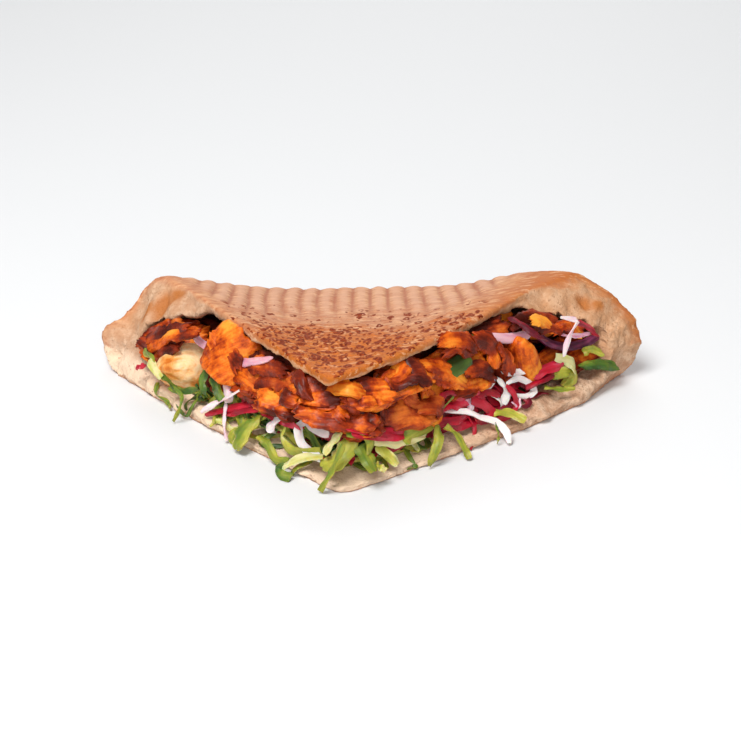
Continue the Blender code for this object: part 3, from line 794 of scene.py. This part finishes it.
def bendStrip(kind, points, faces, widths, hue, thick=None):
    # faces says which way the strip's broad side looks at each of the points
    style, size = stripStyles[kind], {name: value * mm for name, value in stripGrain.items()}
    steps = style["faces"][0]
    line, broadside = smoothLine(points, steps), smoothLine(faces, steps)
    length = sum((b - a).length for a, b in zip(line, line[1:]))
    seed = dice.uniform(0, 50)
    thick = (thick or style["thick"]) * mm
    mesh = bars[kind].data.copy()
    moved, grainAt, charsAndShade, hues = [], [], [], []
    for x, y, z in readPoints(mesh):
        t = x + 0.5
        i = round(t * steps)
        run = t * length
        ahead = (line[min(i + 1, steps)] - line[max(i - 1, 0)]).normalized()
        side = broadside[i].cross(ahead).normalized()
        up = ahead.cross(side)
        turned = Matrix.Rotation(style["twist"] * 1.6 * ripple(seed, t * 1.5, 0), 3, ahead)
        side, up = turned @ side, turned @ up
        towardsEnd, edge = abs(2 * t - 1), abs(2 * y)
        width = (widths[0] + (widths[1] - widths[0]) * t) * mm
        width *= style["tip"] + (1 - style["tip"]) * (1 - towardsEnd ** style["square"])
        uneven = ripple(run / size["uneven"], 3 * y, seed)
        uneven += 0.2 * ripple(run / size["teeth"], 6 * y, seed)
        across = y * width * (1 + style["uneven"] * uneven)
        teeth = 0.6 - 2 * abs(ripple(run / size["teeth"], math.copysign(3, y), seed))
        across += style["torn"] * 0.3 * mm * teeth * ramp(0.6, 1, edge) * math.copysign(1, y)
        body = z * thick * (1 - 0.5 * edge ** 3) * (1 - 0.4 * towardsEnd ** 6)
        wave = math.sin(6.28 * (t * style["waves"] + seed) + 1.6 * math.copysign(edge, y))
        rise = style["ruffle"] * mm * edge * wave - style["curl"] * edge ** 2 * width / 4
        along = run / size["fibreLength"]
        fibre = 0.5 - 2 * abs(ripple(along, across / size["fibreWidth"], seed))
        rise += style["fibre"] * mm * 2 * z * fibre
        lumpAt = Vector((run, across, seed * stripGrain["lump"] * mm))
        rise += style["lump"] * mm * wobble(lumpAt, stripGrain["lump"])
        tear = 0.6 - 2 * abs(ripple(seed, across / size["tear"], t))
        tear *= style["torn"] * mm * ramp(0.6, 1, towardsEnd) * math.copysign(1, x)
        bent = line[i] + side * across + up * (body + rise) + ahead * tear
        bent.z = max(bent.z, (0.3 + 0.3 * z) * mm)  # nothing sinks into the table
        moved.append(bent)
        grainAt.append((run + seed * 0.02, across, z * thick))
        blot = ripple(along, across / size["blot"], seed)
        charsAndShade.append(hue - 0.35 + 0.55 * blot + 0.1 * edge ** 3)
        hues.append(clampTo(hue + 0.3 * ripple(t * 2, 2 * y, seed + 9)))
    writePoints(mesh, moved)
    for name, values in (("grain", grainAt), ("char", charsAndShade), ("hue", hues)):
        paint(mesh, name, values)
    return newObject("strip", mesh)


def joinStrips(strips, name, material, slotName, *replaced):
    pickOnly(strips[0])
    for strip in strips:
        strip.select_set(True)
    bpy.ops.object.join()
    piece = bpy.context.object
    piece.name = name
    piece.data.name = name
    print(name, len(strips), "strips,", len(piece.data.polygons), "faces")
    return finishPiece(piece, material, slotName, *replaced)


def outwards(point):
    # the way that the filling's open side looks at a point
    near = [(point - corner).dot(cutFacing[side]) for side in ("left", "right")]
    share = fade(-10, 10, near[1] - near[0])
    return (cutFacing["left"].lerp(cutFacing["right"], share) + Vector((0, 0, 0.8))).normalized()


roofGap = {"shaving": 3.0, "other": 1.5}
# points on a loose strip's line, least height over the table, the bare front corner, what is kept
# clear round the larger pieces, how steeply the filling is looked at, in degrees, how many tries a
# strip may take, and the share of its length that lies before the place where it was tried
laying = {"steps": 12, "tableGap": 0.8, "bareCorner": 13, "keptClear": 8, "lookDown": 32,
          "tries": 4, "before": 0.4}


def underRoof(point, kind):
    # the same place, lowered where the strip would touch the bread above
    above = breadTree.ray_cast(Vector((point.x, point.y, 15 * mm)), Vector((0, 0, 1)))[0]
    gap = roofGap.get(kind, roofGap["other"]) * mm
    return Vector((point.x, point.y, min(point.z, above.z - gap))) if above else point


def layStrip(kind, widths, hue, points, thick=None):
    points = [underRoof(place(p), kind) for p in points]
    return bendStrip(kind, points, [outwards(p) for p in points], widths, hue, thick)


def layRows(kind, rows, thick=None):
    return [layStrip(kind, (start, end), hue, line, thick) for start, end, hue, line in rows]


def crawl(tree, start, heading, length, lift, swirl, fall):
    # a line that follows the surfaces below it, at the given lift, sinking as it goes
    at, go, seed, steps = start, heading, dice.uniform(0, 50), laying["steps"]
    points, faces = [], []
    for i in range(steps + 1):
        near, flat = tree.find_nearest(at)[:2]
        share = i / steps
        at = near + flat * (lift[0] + lift[1] * math.sin(math.pi * share)) * mm
        at.z = max(at.z, laying["tableGap"] * mm)
        points.append(at)
        faces.append(flat)
        go = go + Vector((0, 0, -fall)) + flat.cross(go) * swirl * ripple(seed, 2.5 * share, 0)
        go = (go - flat * go.dot(flat)).normalized()
        at = at + go * (length / steps)
    for _ in range(2):
        middle = range(1, steps)
        points[1:-1] = [(points[i - 1] + points[i] * 2 + points[i + 1]) / 4 for i in middle]
        faces[1:-1] = [(faces[i - 1] + faces[i] + faces[i + 1]).normalized() for i in middle]
    return points, faces


def seek(side, along, height):
    # looks in at the filling from outside one cut, a little from above, and says what it meets
    tilt = math.radians(laying["lookDown"])
    into = -cutFacing[side] * math.cos(tilt) - Vector((0, 0, math.sin(tilt)))
    up = -cutFacing[side] * math.sin(tilt) + Vector((0, 0, math.cos(tilt)))
    eye = corner + cutRun[side] * along * mm + up * height * mm - into * 0.1
    spot, _, face = visibleTree.ray_cast(eye, into)[:3]
    return (spot, visibleOwners[face]) if spot else (None, None)


heaps = ("cabbage_bed", "lettuce_bed")


def scatter(kind, side, along, height, count, hues, widths, lengths, lift, swirl=1.2, fall=0.05,
            rise=0.6, under=heaps, tree=None, lowest=0):
    # strips that start where the named surfaces show, and crawl over them; the bread's front
    # corner stays bare
    strips = []
    for _ in range(count * laying["tries"]):
        s, h = dice.uniform(*along), dice.uniform(*height)
        spot, owner = seek(side, s, h)
        if spot is None or not owner.startswith(under):
            continue
        turn = dice.choice((-1, 1)) * cutRun[side] + Vector((0, 0, dice.uniform(-0.6, rise)))
        turn += cutFacing[side] * dice.uniform(-0.5, 0.5)
        length = dice.uniform(*lengths)
        start = spot - turn.normalized() * length * laying["before"] * mm
        points, faces = crawl(tree or crawlTree, start, turn.normalized(), length * mm,
                              (dice.uniform(*lift), dice.uniform(0, 1.5)), swirl, fall)
        front, bottom = min(p.y for p in points), min(p.z for p in points)
        if front < corner.y + laying["bareCorner"] * mm or bottom < lowest * mm:
            continue
        if kind == "shaving":
            if min((p - q).length for p in points for q in keptClear) < laying["keptClear"] * mm:
                continue
            points = [underRoof(p, kind) for p in points]
        width = dice.uniform(*widths)
        strips.append(bendStrip(kind, points, faces, (width, width * dice.uniform(0.6, 1.1)),
                                dice.uniform(*hues)))
        if len(strips) == count:
            break
    return strips


# looks of the vegetables: the tones run with hue from 0 to 1, and veins run along the strip

def plantLook(name, tones, settings, veins, bump):
    material, tree, shader = newLook(name, **settings)
    along = painted(tree, "grain", "Vector")
    lines = grain(tree, stretched(tree, along, (0.2, 1.0, 1.0)), 900.0, 2.0)
    blotch = grain(tree, along, 160.0, 2.0)
    level = total(tree, -0.5 * veins - 0.25, (painted(tree, "hue"), 1.0), (lines, veins), (blotch, 0.5))
    tree.links.new(toneRamp(tree, level, tones), shader.inputs["Base Color"])
    bumpInto(tree, shader, calc(tree, "ADD", lines, blotch), bump, 0.35)
    return material


plantSettings = {"Roughness": 0.38, "Specular_IOR_Level": 0.45, "Coat_Weight": 0.1,
                 "Coat_Roughness": 0.25, "Subsurface_Weight": 0.25, "Subsurface_Scale": 0.002}
leafSettings = {"Roughness": 0.45, "Specular_IOR_Level": 0.35, "Subsurface_Weight": 0.3,
                "Subsurface_Scale": 0.002}
redLook = plantLook("redCabbageLook", ((90, 6, 26), (138, 8, 30), (182, 14, 40), (208, 38, 66),
                                       (240, 172, 190)), plantSettings, 0.3, 0.35)
whiteLook = plantLook("whiteCabbageLook", ((244, 234, 228), (242, 220, 220), (232, 178, 194),
                                           (208, 110, 150)), plantSettings, 0.4, 0.35)
lettuceLook = plantLook("lettuceLook", ((220, 210, 150), (188, 182, 72), (146, 150, 46),
                                        (100, 124, 38), (62, 94, 32), (36, 60, 22)),
                        leafSettings, 0.35, 0.5)
onionLook = plantLook("onionLook", ((230, 182, 190), (216, 146, 166), (166, 74, 112), (84, 20, 54)),
                      plantSettings, 0.4, 0.3)
pepperLook = plantLook("pepperLook", ((150, 160, 60), (96, 116, 36), (62, 82, 24), (40, 56, 18)),
                       plantSettings, 0.2, 0.25)

# what the strips lie on

cores = {"voxel": 1.6, "evening": 2, "lump": 0.9, "lumpSizes": (5, 2.4)}


def makeCore(nodeName, shrink, material, slotName, hue):
    # the hidden middle of a heap, a little smaller than the heap itself, coloured dark as painted shade
    # deep in the heap
    piece = copyOfNode(nodeName, nodeName + "_core")
    evenSkin(piece, cores["voxel"], cores["evening"])
    points = [Vector(co) for co in readPoints(piece.data)]
    moved = []
    for co, skin in zip(points, readPoints(piece.data, "normal")):
        lump = wobble(co, cores["lumpSizes"][0]) + 0.6 * wobble(co, cores["lumpSizes"][1])
        moved.append(co + Vector(skin) * (cores["lump"] * lump - shrink) * mm)
    writePoints(piece.data, moved)
    paint(piece.data, "grain", points)
    paint(piece.data, "hue", [hue] * len(moved))
    paint(piece.data, "char", [0.75 + 0.3 * wobble(p, 6) for p in moved])
    return finishPiece(piece, material, slotName, nodeName)


# each core takes the darkest tones of its look: painted shade between the pieces
meatCore = makeCore("meat_bed", 1.2, roastLooks["brown"], "meat_brown", 1.0)
cabbageCore = makeCore("cabbage_bed", 1.7, redLook, "red_cabbage", 0.05)
lettuceCore = makeCore("lettuce_bed", 1.7, lettuceLook, "lettuce", 0.9)
bars = {kind: flatBar(kind) for kind in stripStyles}
meats = [obj for obj in bpy.data.objects if obj.name.endswith("_roast")]
visibleTree, visibleOwners = joinTree([flatbread, meatCore, cabbageCore, lettuceCore] + meats)
crawlTree = joinTree([flatbread, nodes["cabbage_bed"], nodes["lettuce_bed"]])[0]
print("cores ready")

# larger leaves, onion and pepper, each along the line of its own solid

cutLooks = {"onion": onionLook, "pepper": pepperLook, "leaf": lettuceLook}
cutPieces = {  # style, widths, thickness, hue, slot and line
    "onion_arc_left": ("onion", (2.6, 3.8), 1.4, 0.25, "onion",
                       [(-62, 83, 31), (-59, 77, 29), (-54, 72, 28), (-50, 68, 29)]),
    "onion_sliver_left": ("onion", (4.2, 2.4), 1.3, 0.15, "onion",
                          [(-45, 60, 27), (-39, 54, 30), (-33, 47, 34), (-28, 42, 37.5)]),
    "onion_ring_right": ("onion", (3.4, 4.6), 1.9, 0.10, "onion",
                         [(54, 60, 38.5), (61, 65, 35.5), (68, 71, 33), (74, 78, 32)]),
    "onion_purple_right": ("onion", (3.2, 3.6), 1.6, 0.95, "red_onion",
                           [(75, 80, 32), (83, 83, 25), (91, 88, 21.5), (99, 94, 21), (105, 100, 22)]),
    "pepper_piece_low": ("pepper", (7.0, 8.0), 2.2, 0.65, "green_pepper",
                         [(37, 41, 30.5), (43, 46, 32), (49, 51, 32.5)]),
    "pepper_piece_high": ("pepper", (5.4, 6.8), 2.2, 0.6, "green_pepper",
                          [(46, 54, 38.5), (52, 59, 37), (58, 64, 35)]),
    "leaf_lobe_left": ("leaf", (6.4, 9.0), 0.9, 0.42, "lettuce",
                       [(-33, 42, 13), (-37, 37, 11.5), (-41, 34, 7.5), (-43, 34, 2.5)]),
    "leaf_wide_front": ("leaf", (6.0, 10.0), 0.7, 0.28, "lettuce",
                        [(4, 12, 20), (1, 8, 15.5), (-4, 7, 11), (-9, 9, 8.2)]),
    "leaf_pale_front": ("leaf", (3.6, 6.6), 1.3, -0.15, "pale_lettuce",
                        [(9, 11, 17.5), (17, 16.5, 14.5), (24, 23, 12.5), (31, 29, 11)]),
    "leaf_curl_right": ("leaf", (5.0, 6.5), 1.0, 0.30, "pale_lettuce",
                        [(77, 73, 13.5), (83, 76, 15), (90, 80, 14.5), (92, 81, 11), (88, 78, 8.5)]),
    "leaf_dark_right": ("leaf", (4.2, 4.6), 1.0, 0.68, "lettuce",
                        [(95, 83, 15), (101, 86.5, 14), (107, 90.5, 12), (112, 94, 9)]),
}
for name, (kind, widths, thick, hue, slotName, line) in cutPieces.items():
    joinStrips([layStrip(kind, widths, hue, line, thick)], name + "_cut", cutLooks[kind], slotName, name)

# shavings of meat that lie over the slices

shavings = [  # kind, width at each end, how dark and the places that it passes
    ("orange", 6.0, 8.5, 0.25, [(-35.5, 44, 17), (-30.5, 40, 22), (-25, 35, 26), (-15.5, 24.5, 27)]),
    ("orange", 6.0, 8.0, 0.05, [(-20.5, 32.5, 29.5), (-16, 28.5, 34.5), (-11, 24.5, 38),
                                (-6.5, 19, 37.5)]),
    ("orange", 6.0, 6.5, 0.30, [(-15.5, 26, 29), (-8.5, 18.5, 31), (-3.5, 12.5, 30), (0, 8.5, 28)]),
    ("orange", 7.0, 6.0, 0.10, [(-5.5, 17.5, 37.5), (2, 12.5, 39), (8.5, 16.5, 35), (14.5, 20, 30.5)]),
    ("brown", 6.0, 6.0, 0.50, [(0, 10.5, 34), (4.5, 12, 32), (9.5, 16, 28)]),
    ("orange", 4.0, 5.0, 0.10, [(12.5, 20, 33.5), (16.5, 24, 37.5), (21.5, 28.5, 37),
                                (27.5, 32.5, 34), (31.5, 34.5, 28.5)]),
    ("orange", 3.0, 2.4, 0.20, [(28.5, 32, 33), (30, 33, 29), (30, 32, 25.5)]),
    ("brown", 5.0, 5.0, 0.60, [(12.5, 20, 31), (14, 19.5, 27), (15, 19.5, 22.5)]),
    ("brown", 8.0, 7.0, 0.55, [(16.5, 22, 24), (21, 25, 24.5), (25.5, 29, 23)]),
    ("orange", 6.0, 6.0, 0.30, [(18, 22, 20.5), (22.5, 25, 18.5), (28, 30, 16.5)]),
    ("orange", 7.0, 8.5, 0.15, [(30.5, 33.5, 27), (32.5, 34, 22), (32.5, 33.5, 17.5), (30.5, 31, 14.5)]),
    ("orange", 7.0, 6.5, 0.45, [(36.5, 43, 43), (41, 47, 43), (47.5, 51, 40), (51, 53, 36)]),
    ("brown", 5.0, 5.5, 0.35, [(38, 43, 39.5), (43.5, 48, 39), (49.5, 52, 34.5)]),
    ("orange", 7.5, 6.5, 0.45, [(50, 54.5, 40.5), (55, 57.5, 37), (58.5, 59, 31.5), (60, 58, 26.5)]),
    ("orange", 6.0, 8.0, 0.20, [(29, 35, 37.5), (35, 39, 34.5), (41.5, 43, 30), (47, 46, 24.5)]),
    ("orange", 5.0, 5.0, 0.40, [(33.5, 37, 33), (39, 40.5, 28.5), (45.5, 44.5, 24.5)]),
    ("brown", 7.0, 7.0, 0.45, [(47, 47.5, 30), (52.5, 52, 28.5), (58.5, 55.5, 23.5)]),
    ("brown", 5.0, 6.0, 0.30, [(60.5, 61, 34), (63.5, 62, 28.5), (65, 62, 21.5)]),
    ("brown", 5.0, 5.0, 0.35, [(84.5, 81, 33), (89.5, 84.5, 32), (95.5, 88, 28)]),
    ("brown", 6.0, 6.0, 0.75, [(66, 70.5, 39), (72, 76.5, 39), (78, 81, 38), (84, 83, 35)]),
    ("brown", 5.0, 5.0, 0.60, [(74, 70.5, 38), (80.5, 76, 35.5), (88.5, 79.5, 31.5)]),
    ("orange", 4.5, 5.0, -0.25, [(74.5, 71.5, 40), (77, 73, 40), (80.5, 75.5, 36)]),
    ("orange", 4.0, 3.5, 0.15, [(83, 76.5, 33), (87, 79.5, 34), (91.5, 83, 31.5), (95.5, 85, 28)]),
    ("brown", 7.0, 8.0, 0.40, [(-39, 49.5, 22), (-32, 43.5, 27.5), (-25, 36.5, 30.5),
                               (-17.5, 29, 31.5)]),
    ("orange", 7.0, 6.0, 0.20, [(-44.5, 56.5, 23.5), (-39.5, 50.5, 25.5), (-33, 43, 24)]),
    ("brown", 8.0, 8.0, 0.45, [(-37, 50.5, 31), (-30.5, 44, 33), (-22.5, 35.5, 34.5)]),
    ("brown", 5.0, 6.0, 0.45, [(-44.5, 55, 19.5), (-39.5, 48.5, 20), (-34.5, 43, 20)]),
    ("orange", 8.0, 7.0, 0.25, [(-53, 67.5, 36), (-49.5, 63, 33), (-44.5, 57, 30.5), (-41, 52.5, 26.5)]),
    ("orange", 8.0, 6.0, 0.20, [(-53, 65.5, 28), (-51.5, 63, 24.5), (-50, 61, 21)]),
    ("orange", 6.0, 7.0, 0.30, [(-84.5, 95, 16), (-78, 90, 22.5), (-69, 82, 29.5), (-59, 72.5, 34.5)]),
    ("brown", 5.0, 5.0, 0.50, [(-80.5, 90, 14.5), (-74.5, 85, 20.5), (-67, 78.5, 25.5)]),
    ("brown", 6.0, 7.0, 0.60, [(-86, 98.5, 17.5), (-76, 90, 26), (-62.5, 78.5, 34.5)]),
]
keptClear = [place(p) for row in cutPieces.values() for p in row[-1]]
keptClear += [Vector(readPoints(nodes[name].data).mean(axis=0)) for name in roast["smooth"]]
flakes = {"orange": [], "brown": []}
for kind, start, end, dark, line in shavings:
    flakes[kind].append(layStrip("shaving", (start, end), dark, line))
slicesTree = joinTree([meatCore] + meats)[0]
coarseMeats = tuple(meat.name for meat in [meatCore] + meats
                    if not meat.name.startswith(roast["smooth"]))
looseFlakes = {"height": (14, 48), "hues": (0.1, 0.6), "widths": (6.0, 10.0), "lengths": (14, 24),
               "lift": (0.1, 0.7), "swirl": 0.8, "fall": 0.02, "under": coarseMeats, "tree": slicesTree}
for kind, side, along, count in (("orange", "left", (8, 118), 3), ("brown", "left", (8, 118), 4),
                                 ("orange", "right", (2, 132), 3), ("brown", "right", (2, 132), 6)):
    flakes[kind] += scatter("shaving", side, along=along, count=count, **looseFlakes)
for kind, strips in flakes.items():
    joinStrips(strips, "meat_shavings_" + kind, roastLooks[kind], meatSlots[kind])

# scattered strips: the cut's side, where along it and how high they start, how many, hues, widths,
# lengths, lift, swirl, fall and rise

loose = {
    "red": [("left", (14, 78), (14, 34), 30, (0.1, 0.6), (2.2, 4.0), (14, 28), (0.2, 1.4)),
            ("right", (10, 100), (12, 34), 90, (0.1, 0.65), (2.4, 5.0), (12, 28), (0.2, 1.8))],
    "white": [("left", (14, 66), (14, 30), 8, (0.1, 0.6), (1.8, 2.8), (10, 22), (1.2, 2.2)),
              ("right", (44, 96), (12, 32), 10, (0.1, 0.6), (1.6, 2.8), (10, 22), (1.4, 2.8))],
    "lettuce": [
        ("left", (18, 66), (9, 17), 44, (0.1, 0.8), (1.8, 3.4), (20, 38), (0.3, 2.6), 2.2, 0.10, 0.1),
        ("right", (14, 44), (9, 14), 32, (0.1, 0.8), (1.8, 3.4), (18, 34), (0.3, 2.6), 2.2, 0.10, 0.1),
        ("left", (66, 106), (9, 24), 30, (0.4, 0.9), (1.2, 2.8), (12, 26), (0.3, 2.6), 2.4, 0.05)],
}

# red and white cabbage

redStrips = [  # width at each end, hue and the places that it passes
    (4.6, 2.6, 0.45, [(-30, 43, 19), (-37.5, 47, 15), (-45.5, 51, 11.5), (-55.5, 56, 6)]),
    (3.0, 2.2, 0.35, [(-32.5, 41, 16.5), (-41, 47, 12), (-48.5, 51, 8.5)]),
    (2.6, 3.4, 0.65, [(-32.5, 42, 14), (-25, 32.5, 15.5), (-17, 23.5, 16.5)]),
    (4.0, 3.0, 0.30, [(-18.5, 32, 22), (-17, 29, 20), (-16.5, 27, 15)]),
    (3.6, 2.8, 0.50, [(-11, 28, 24), (-14, 26, 21), (-16.5, 26, 15)]),
    (4.0, 5.0, 0.40, [(-6, 14, 25), (1, 8, 25), (9.5, 11.5, 21.5), (17, 17.5, 18), (25, 25, 15.5),
                      (32, 32, 13.5)]),
    (3.6, 4.0, 0.50, [(3, 6, 23), (10.5, 11, 19.5), (18, 17, 16.5), (24, 24, 14)]),
    (2.8, 3.0, 0.55, [(34, 36.5, 22), (39.5, 41, 22.5), (44.5, 44.5, 19.5), (50.5, 49.5, 18.5),
                      (55, 52.5, 15.5)]),
    (4.0, 4.4, 0.45, [(49.5, 47.5, 16.5), (54.5, 50.5, 13.5), (57.5, 52, 10), (56.5, 50, 7.5),
                      (52.5, 47, 8.5), (50, 45.5, 11.5)]),
    (3.4, 3.6, 0.40, [(33, 32.5, 13), (38, 36.5, 12.5), (44, 40.5, 11.5), (49, 45.5, 11.5)]),
    (2.6, 3.0, 0.50, [(64, 60, 17), (67, 61, 13), (68, 60.5, 9), (66, 58, 6.5), (62, 53.5, 6),
                      (58.5, 50.5, 7)]),
    (2.2, 1.6, 0.40, [(48, 44, 11.5), (50.5, 44, 7), (50.5, 41.5, 3.5), (49, 36.5, 0.8)]),
    (4.0, 3.6, 0.30, [(40.5, 44, 24.5), (46, 48, 23), (52, 52, 20)]),
    (3.6, 3.8, 0.60, [(36.5, 37, 17.5), (42, 41.5, 17.5), (48, 46.5, 15)]),
    (3.4, 2.6, 0.40, [(52, 50, 17.5), (57, 54.5, 16.5), (61, 57, 14)]),
    (4.2, 4.8, 0.35, [(37, 36, 11), (45, 41, 9.5), (54, 49, 8)]),
    (3.6, 4.2, 0.50, [(37, 43.5, 20), (45.5, 49, 15.5), (52, 51.5, 10.5)]),
    (2.6, 2.4, 0.00, [(64.5, 69.5, 42.5), (69.5, 69, 39.5), (74.5, 68.5, 36), (80.5, 71, 31.5)]),
    (3.0, 2.0, 0.35, [(93, 82, 35), (98.5, 84.5, 31), (102.5, 86.5, 26.5)]),
    (5.0, 4.4, 0.60, [(75, 70, 17), (82, 74.5, 18), (88, 80, 17.5)]),
    (4.0, 3.4, 0.25, [(72, 67, 13), (80, 72, 15), (85, 78, 16)]),
    (3.0, 2.4, 0.45, [(-86, 88, 12), (-82, 86, 14)]),
    (3.0, 2.4, 0.35, [(-76, 84, 17), (-74, 79, 14)]),
]
whiteStrips = [
    (4.2, 2.2, 0.35, [(-36, 47.5, 24), (-41.5, 49.5, 20), (-46.5, 51, 16.5), (-52.5, 53, 12),
                      (-57.5, 55.5, 7.5)]),
    (2.2, 4.2, 0.40, [(-49, 62, 21.5), (-47, 57, 19), (-46, 54, 16), (-46.5, 52, 13.5)]),
    (2.6, 1.4, 0.45, [(-47, 52.5, 12.5), (-47.5, 48.5, 9), (-47.5, 44.5, 5.5), (-46.5, 42.5, 1.5)]),
    (2.8, 4.8, 0.30, [(-20, 32.5, 22.5), (-25, 32, 18), (-28, 32.5, 13.5), (-30, 33, 10.5)]),
    (3.0, 3.8, 0.05, [(-12, 24, 20.5), (-17, 25.5, 16.5), (-17, 21, 12.5), (-13, 15, 10.5),
                      (-9, 10.5, 10)]),
    (5.0, 4.0, 0.25, [(-10, 23, 25), (-13, 23.5, 20.5), (-9.5, 17.5, 19), (-6, 14, 18.5)]),
    (6.4, 4.6, 0.20, [(46, 50.5, 22.5), (53, 54, 20.5), (59, 58.5, 20)]),
    (2.6, 3.6, 0.05, [(60, 59.5, 20.5), (63, 60.5, 17), (64, 60, 13), (62.5, 57.5, 10.5)]),
    (3.0, 4.0, 0.10, [(57.5, 55.5, 15), (60.5, 57.5, 12.5), (63, 58, 8.5), (63, 57, 6)]),
    (1.8, 3.6, 0.15, [(34, 37.5, 17.5), (41.5, 40.5, 15.5), (47.5, 44, 14), (53, 45.5, 10),
                      (59, 46.5, 8), (63.5, 44, 4.5), (64.5, 41, 1.4)]),
    (3.0, 2.4, 0.60, [(45.5, 46.5, 20), (48, 47.5, 17), (49, 47.5, 14), (48.5, 46, 12.5)]),
    (2.4, 2.0, 0.50, [(51.5, 51, 18), (49.5, 49, 16.5), (48.5, 47.5, 14)]),
    (2.6, 2.4, 0.10, [(64, 61, 17.5), (67, 64, 18), (70, 66.5, 17), (74, 69, 13.5), (75.5, 69, 10.5),
                      (73, 66, 9.5), (68.5, 63, 11), (65.5, 61.5, 13)]),
    (3.0, 2.4, 0.15, [(62, 62, 22), (67, 66, 20), (73, 70, 19)]),
    (2.4, 2.2, 0.40, [(86, 77.5, 39), (93, 81, 36), (91.5, 78.5, 34), (89.5, 75.5, 31),
                      (88, 74, 27), (87.5, 73.5, 23.5)]),
    (2.2, 1.6, 0.70, [(84, 76.5, 33.5), (88, 79, 30.5), (94, 83, 28.5), (99, 86.5, 28)]),
    (1.4, 1.2, 0.60, [(66, 59.5, 10), (69, 60.5, 7.5), (69.5, 62, 10.5)]),
]
for name, rows, scattered, look, slotName, *replaced in (
        ("red_cabbage_strips", redStrips, loose["red"], redLook, "red_cabbage", "cabbage_bed"),
        ("white_cabbage_strips", whiteStrips, loose["white"], whiteLook, "onion")):
    strips = layRows("cabbage", rows)
    for row in scattered:
        strips += scatter("cabbage", *row, lowest=6)
    joinStrips(strips, name, look, slotName, *replaced)

# lettuce

lettuceStrips = [
    (3.6, 3.0, 0.45, [(-33.5, 34.5, 7.5), (-30, 29, 7), (-26.5, 23.5, 3), (-21.5, 20, 4.5)]),
    (3.4, 4.2, 0.30, [(-23, 29, 14.5), (-24.5, 27, 10.5), (-21, 22.5, 8), (-15, 16.5, 9.5),
                      (-9, 13, 12)]),
    (3.4, 2.8, 0.00, [(-1, 8, 23), (-4.5, 8.5, 18.5), (-7.5, 7.5, 13.5)]),
    (3.6, 2.8, 0.02, [(-8, 10, 11.5), (-16, 14, 8.8), (-22, 15.5, 5), (-24.5, 17, 1.8)]),
    (2.6, 5.0, 0.60, [(-22, 16, 4.4), (-25, 17.5, 2.4), (-24, 14, 1.4), (-20.5, 11.5, 1.2)]),
    (3.6, 3.0, 0.45, [(-0.5, 1.5, 20.5), (-3.5, 1.5, 13.5), (-5.5, 0.5, 8.5), (-9, 1.5, 1.2)]),
    (3.4, 3.8, 0.40, [(1, 7, 22.5), (6.5, 8.5, 22), (10, 9.5, 18), (9.5, 7.5, 13.5)]),
    (6.0, 5.4, 0.55, [(6, 9, 16.5), (9, 6, 12), (11.5, 3.5, 8.5)]),
    (4.6, 3.4, 0.18, [(12.5, 14, 14), (16.5, 13, 10.5), (20.5, 12.5, 6.5)]),
    (4.0, 3.0, 0.12, [(12, 8, 9.5), (15.5, 7, 7)]),
    (5.4, 4.0, 0.38, [(22, 20, 13), (27, 24, 14.5), (33.5, 31, 14)]),
    (4.0, 3.4, 0.40, [(36, 33, 13), (36, 27, 10.5), (34.5, 23, 6.5), (32.5, 21, 1.4)]),
    (3.8, 2.4, 0.32, [(39, 35.5, 11.5), (43.5, 33, 9), (46.5, 30.5, 4), (48, 28, 1.2)]),
    (4.2, 3.4, 0.25, [(58, 52.5, 9), (64.5, 51.5, 9.5), (71, 51.5, 6)]),
    (1.4, 0.8, 0.50, [(59, 44.5, 8.5), (60, 42, 4), (59.5, 40.5, 1)]),
    (0.9, 0.7, 0.65, [(42, 40.5, 21.5), (36.5, 34, 18.5), (31, 28, 16), (26, 23.5, 15)]),
    (3.4, 3.0, 0.70, [(-75, 79, 14), (-70, 72.5, 12), (-65.5, 66.5, 11.5), (-58.5, 61.5, 15)]),
    (3.6, 3.0, 0.70, [(-55.5, 64, 22), (-57, 61, 17.5), (-54.5, 56.5, 13.5)]),
    (3.6, 3.4, 0.75, [(-53, 61, 20.5), (-50.5, 54.5, 18), (-48.5, 50.5, 15)]),
    (2.8, 1.2, 0.50, [(-71, 71.5, 11), (-66, 65, 10.5), (-66.5, 60.5, 6.5), (-69, 60.5, 1)]),
    (4.0, 3.2, 0.45, [(-83, 91, 18), (-79.5, 85, 17.5), (-79, 82, 14)]),
    (3.6, 3.0, 0.05, [(-80, 84.5, 17), (-77.5, 79.5, 15), (-74.5, 76, 13)]),
    (3.0, 2.6, 0.72, [(-52, 67, 31), (-51, 65, 27.5), (-52.5, 64.5, 23)]),
    (4.0, 5.0, -0.15, [(84.5, 77, 22), (88.5, 79.5, 19.5), (92, 81, 16.5), (93, 80, 13)]),
    (3.4, 3.0, 0.25, [(96.5, 86.5, 19.5), (100.5, 89.5, 19.5), (105.5, 91, 16.5)]),
    (2.4, 1.6, 0.40, [(80, 70.5, 11.5), (87, 72.5, 9.5), (92.5, 75, 8.8)]),
]
lettuce = layRows("lettuce", lettuceStrips, 0.45)
for row in loose["lettuce"]:
    lettuce += scatter("lettuce", *row, under=heaps + ("flatbread",))
joinStrips(lettuce, "lettuce_strips", lettuceLook, "lettuce", "lettuce_bed")

for bar in bars.values():
    bpy.data.objects.remove(bar)
print("salad ready")
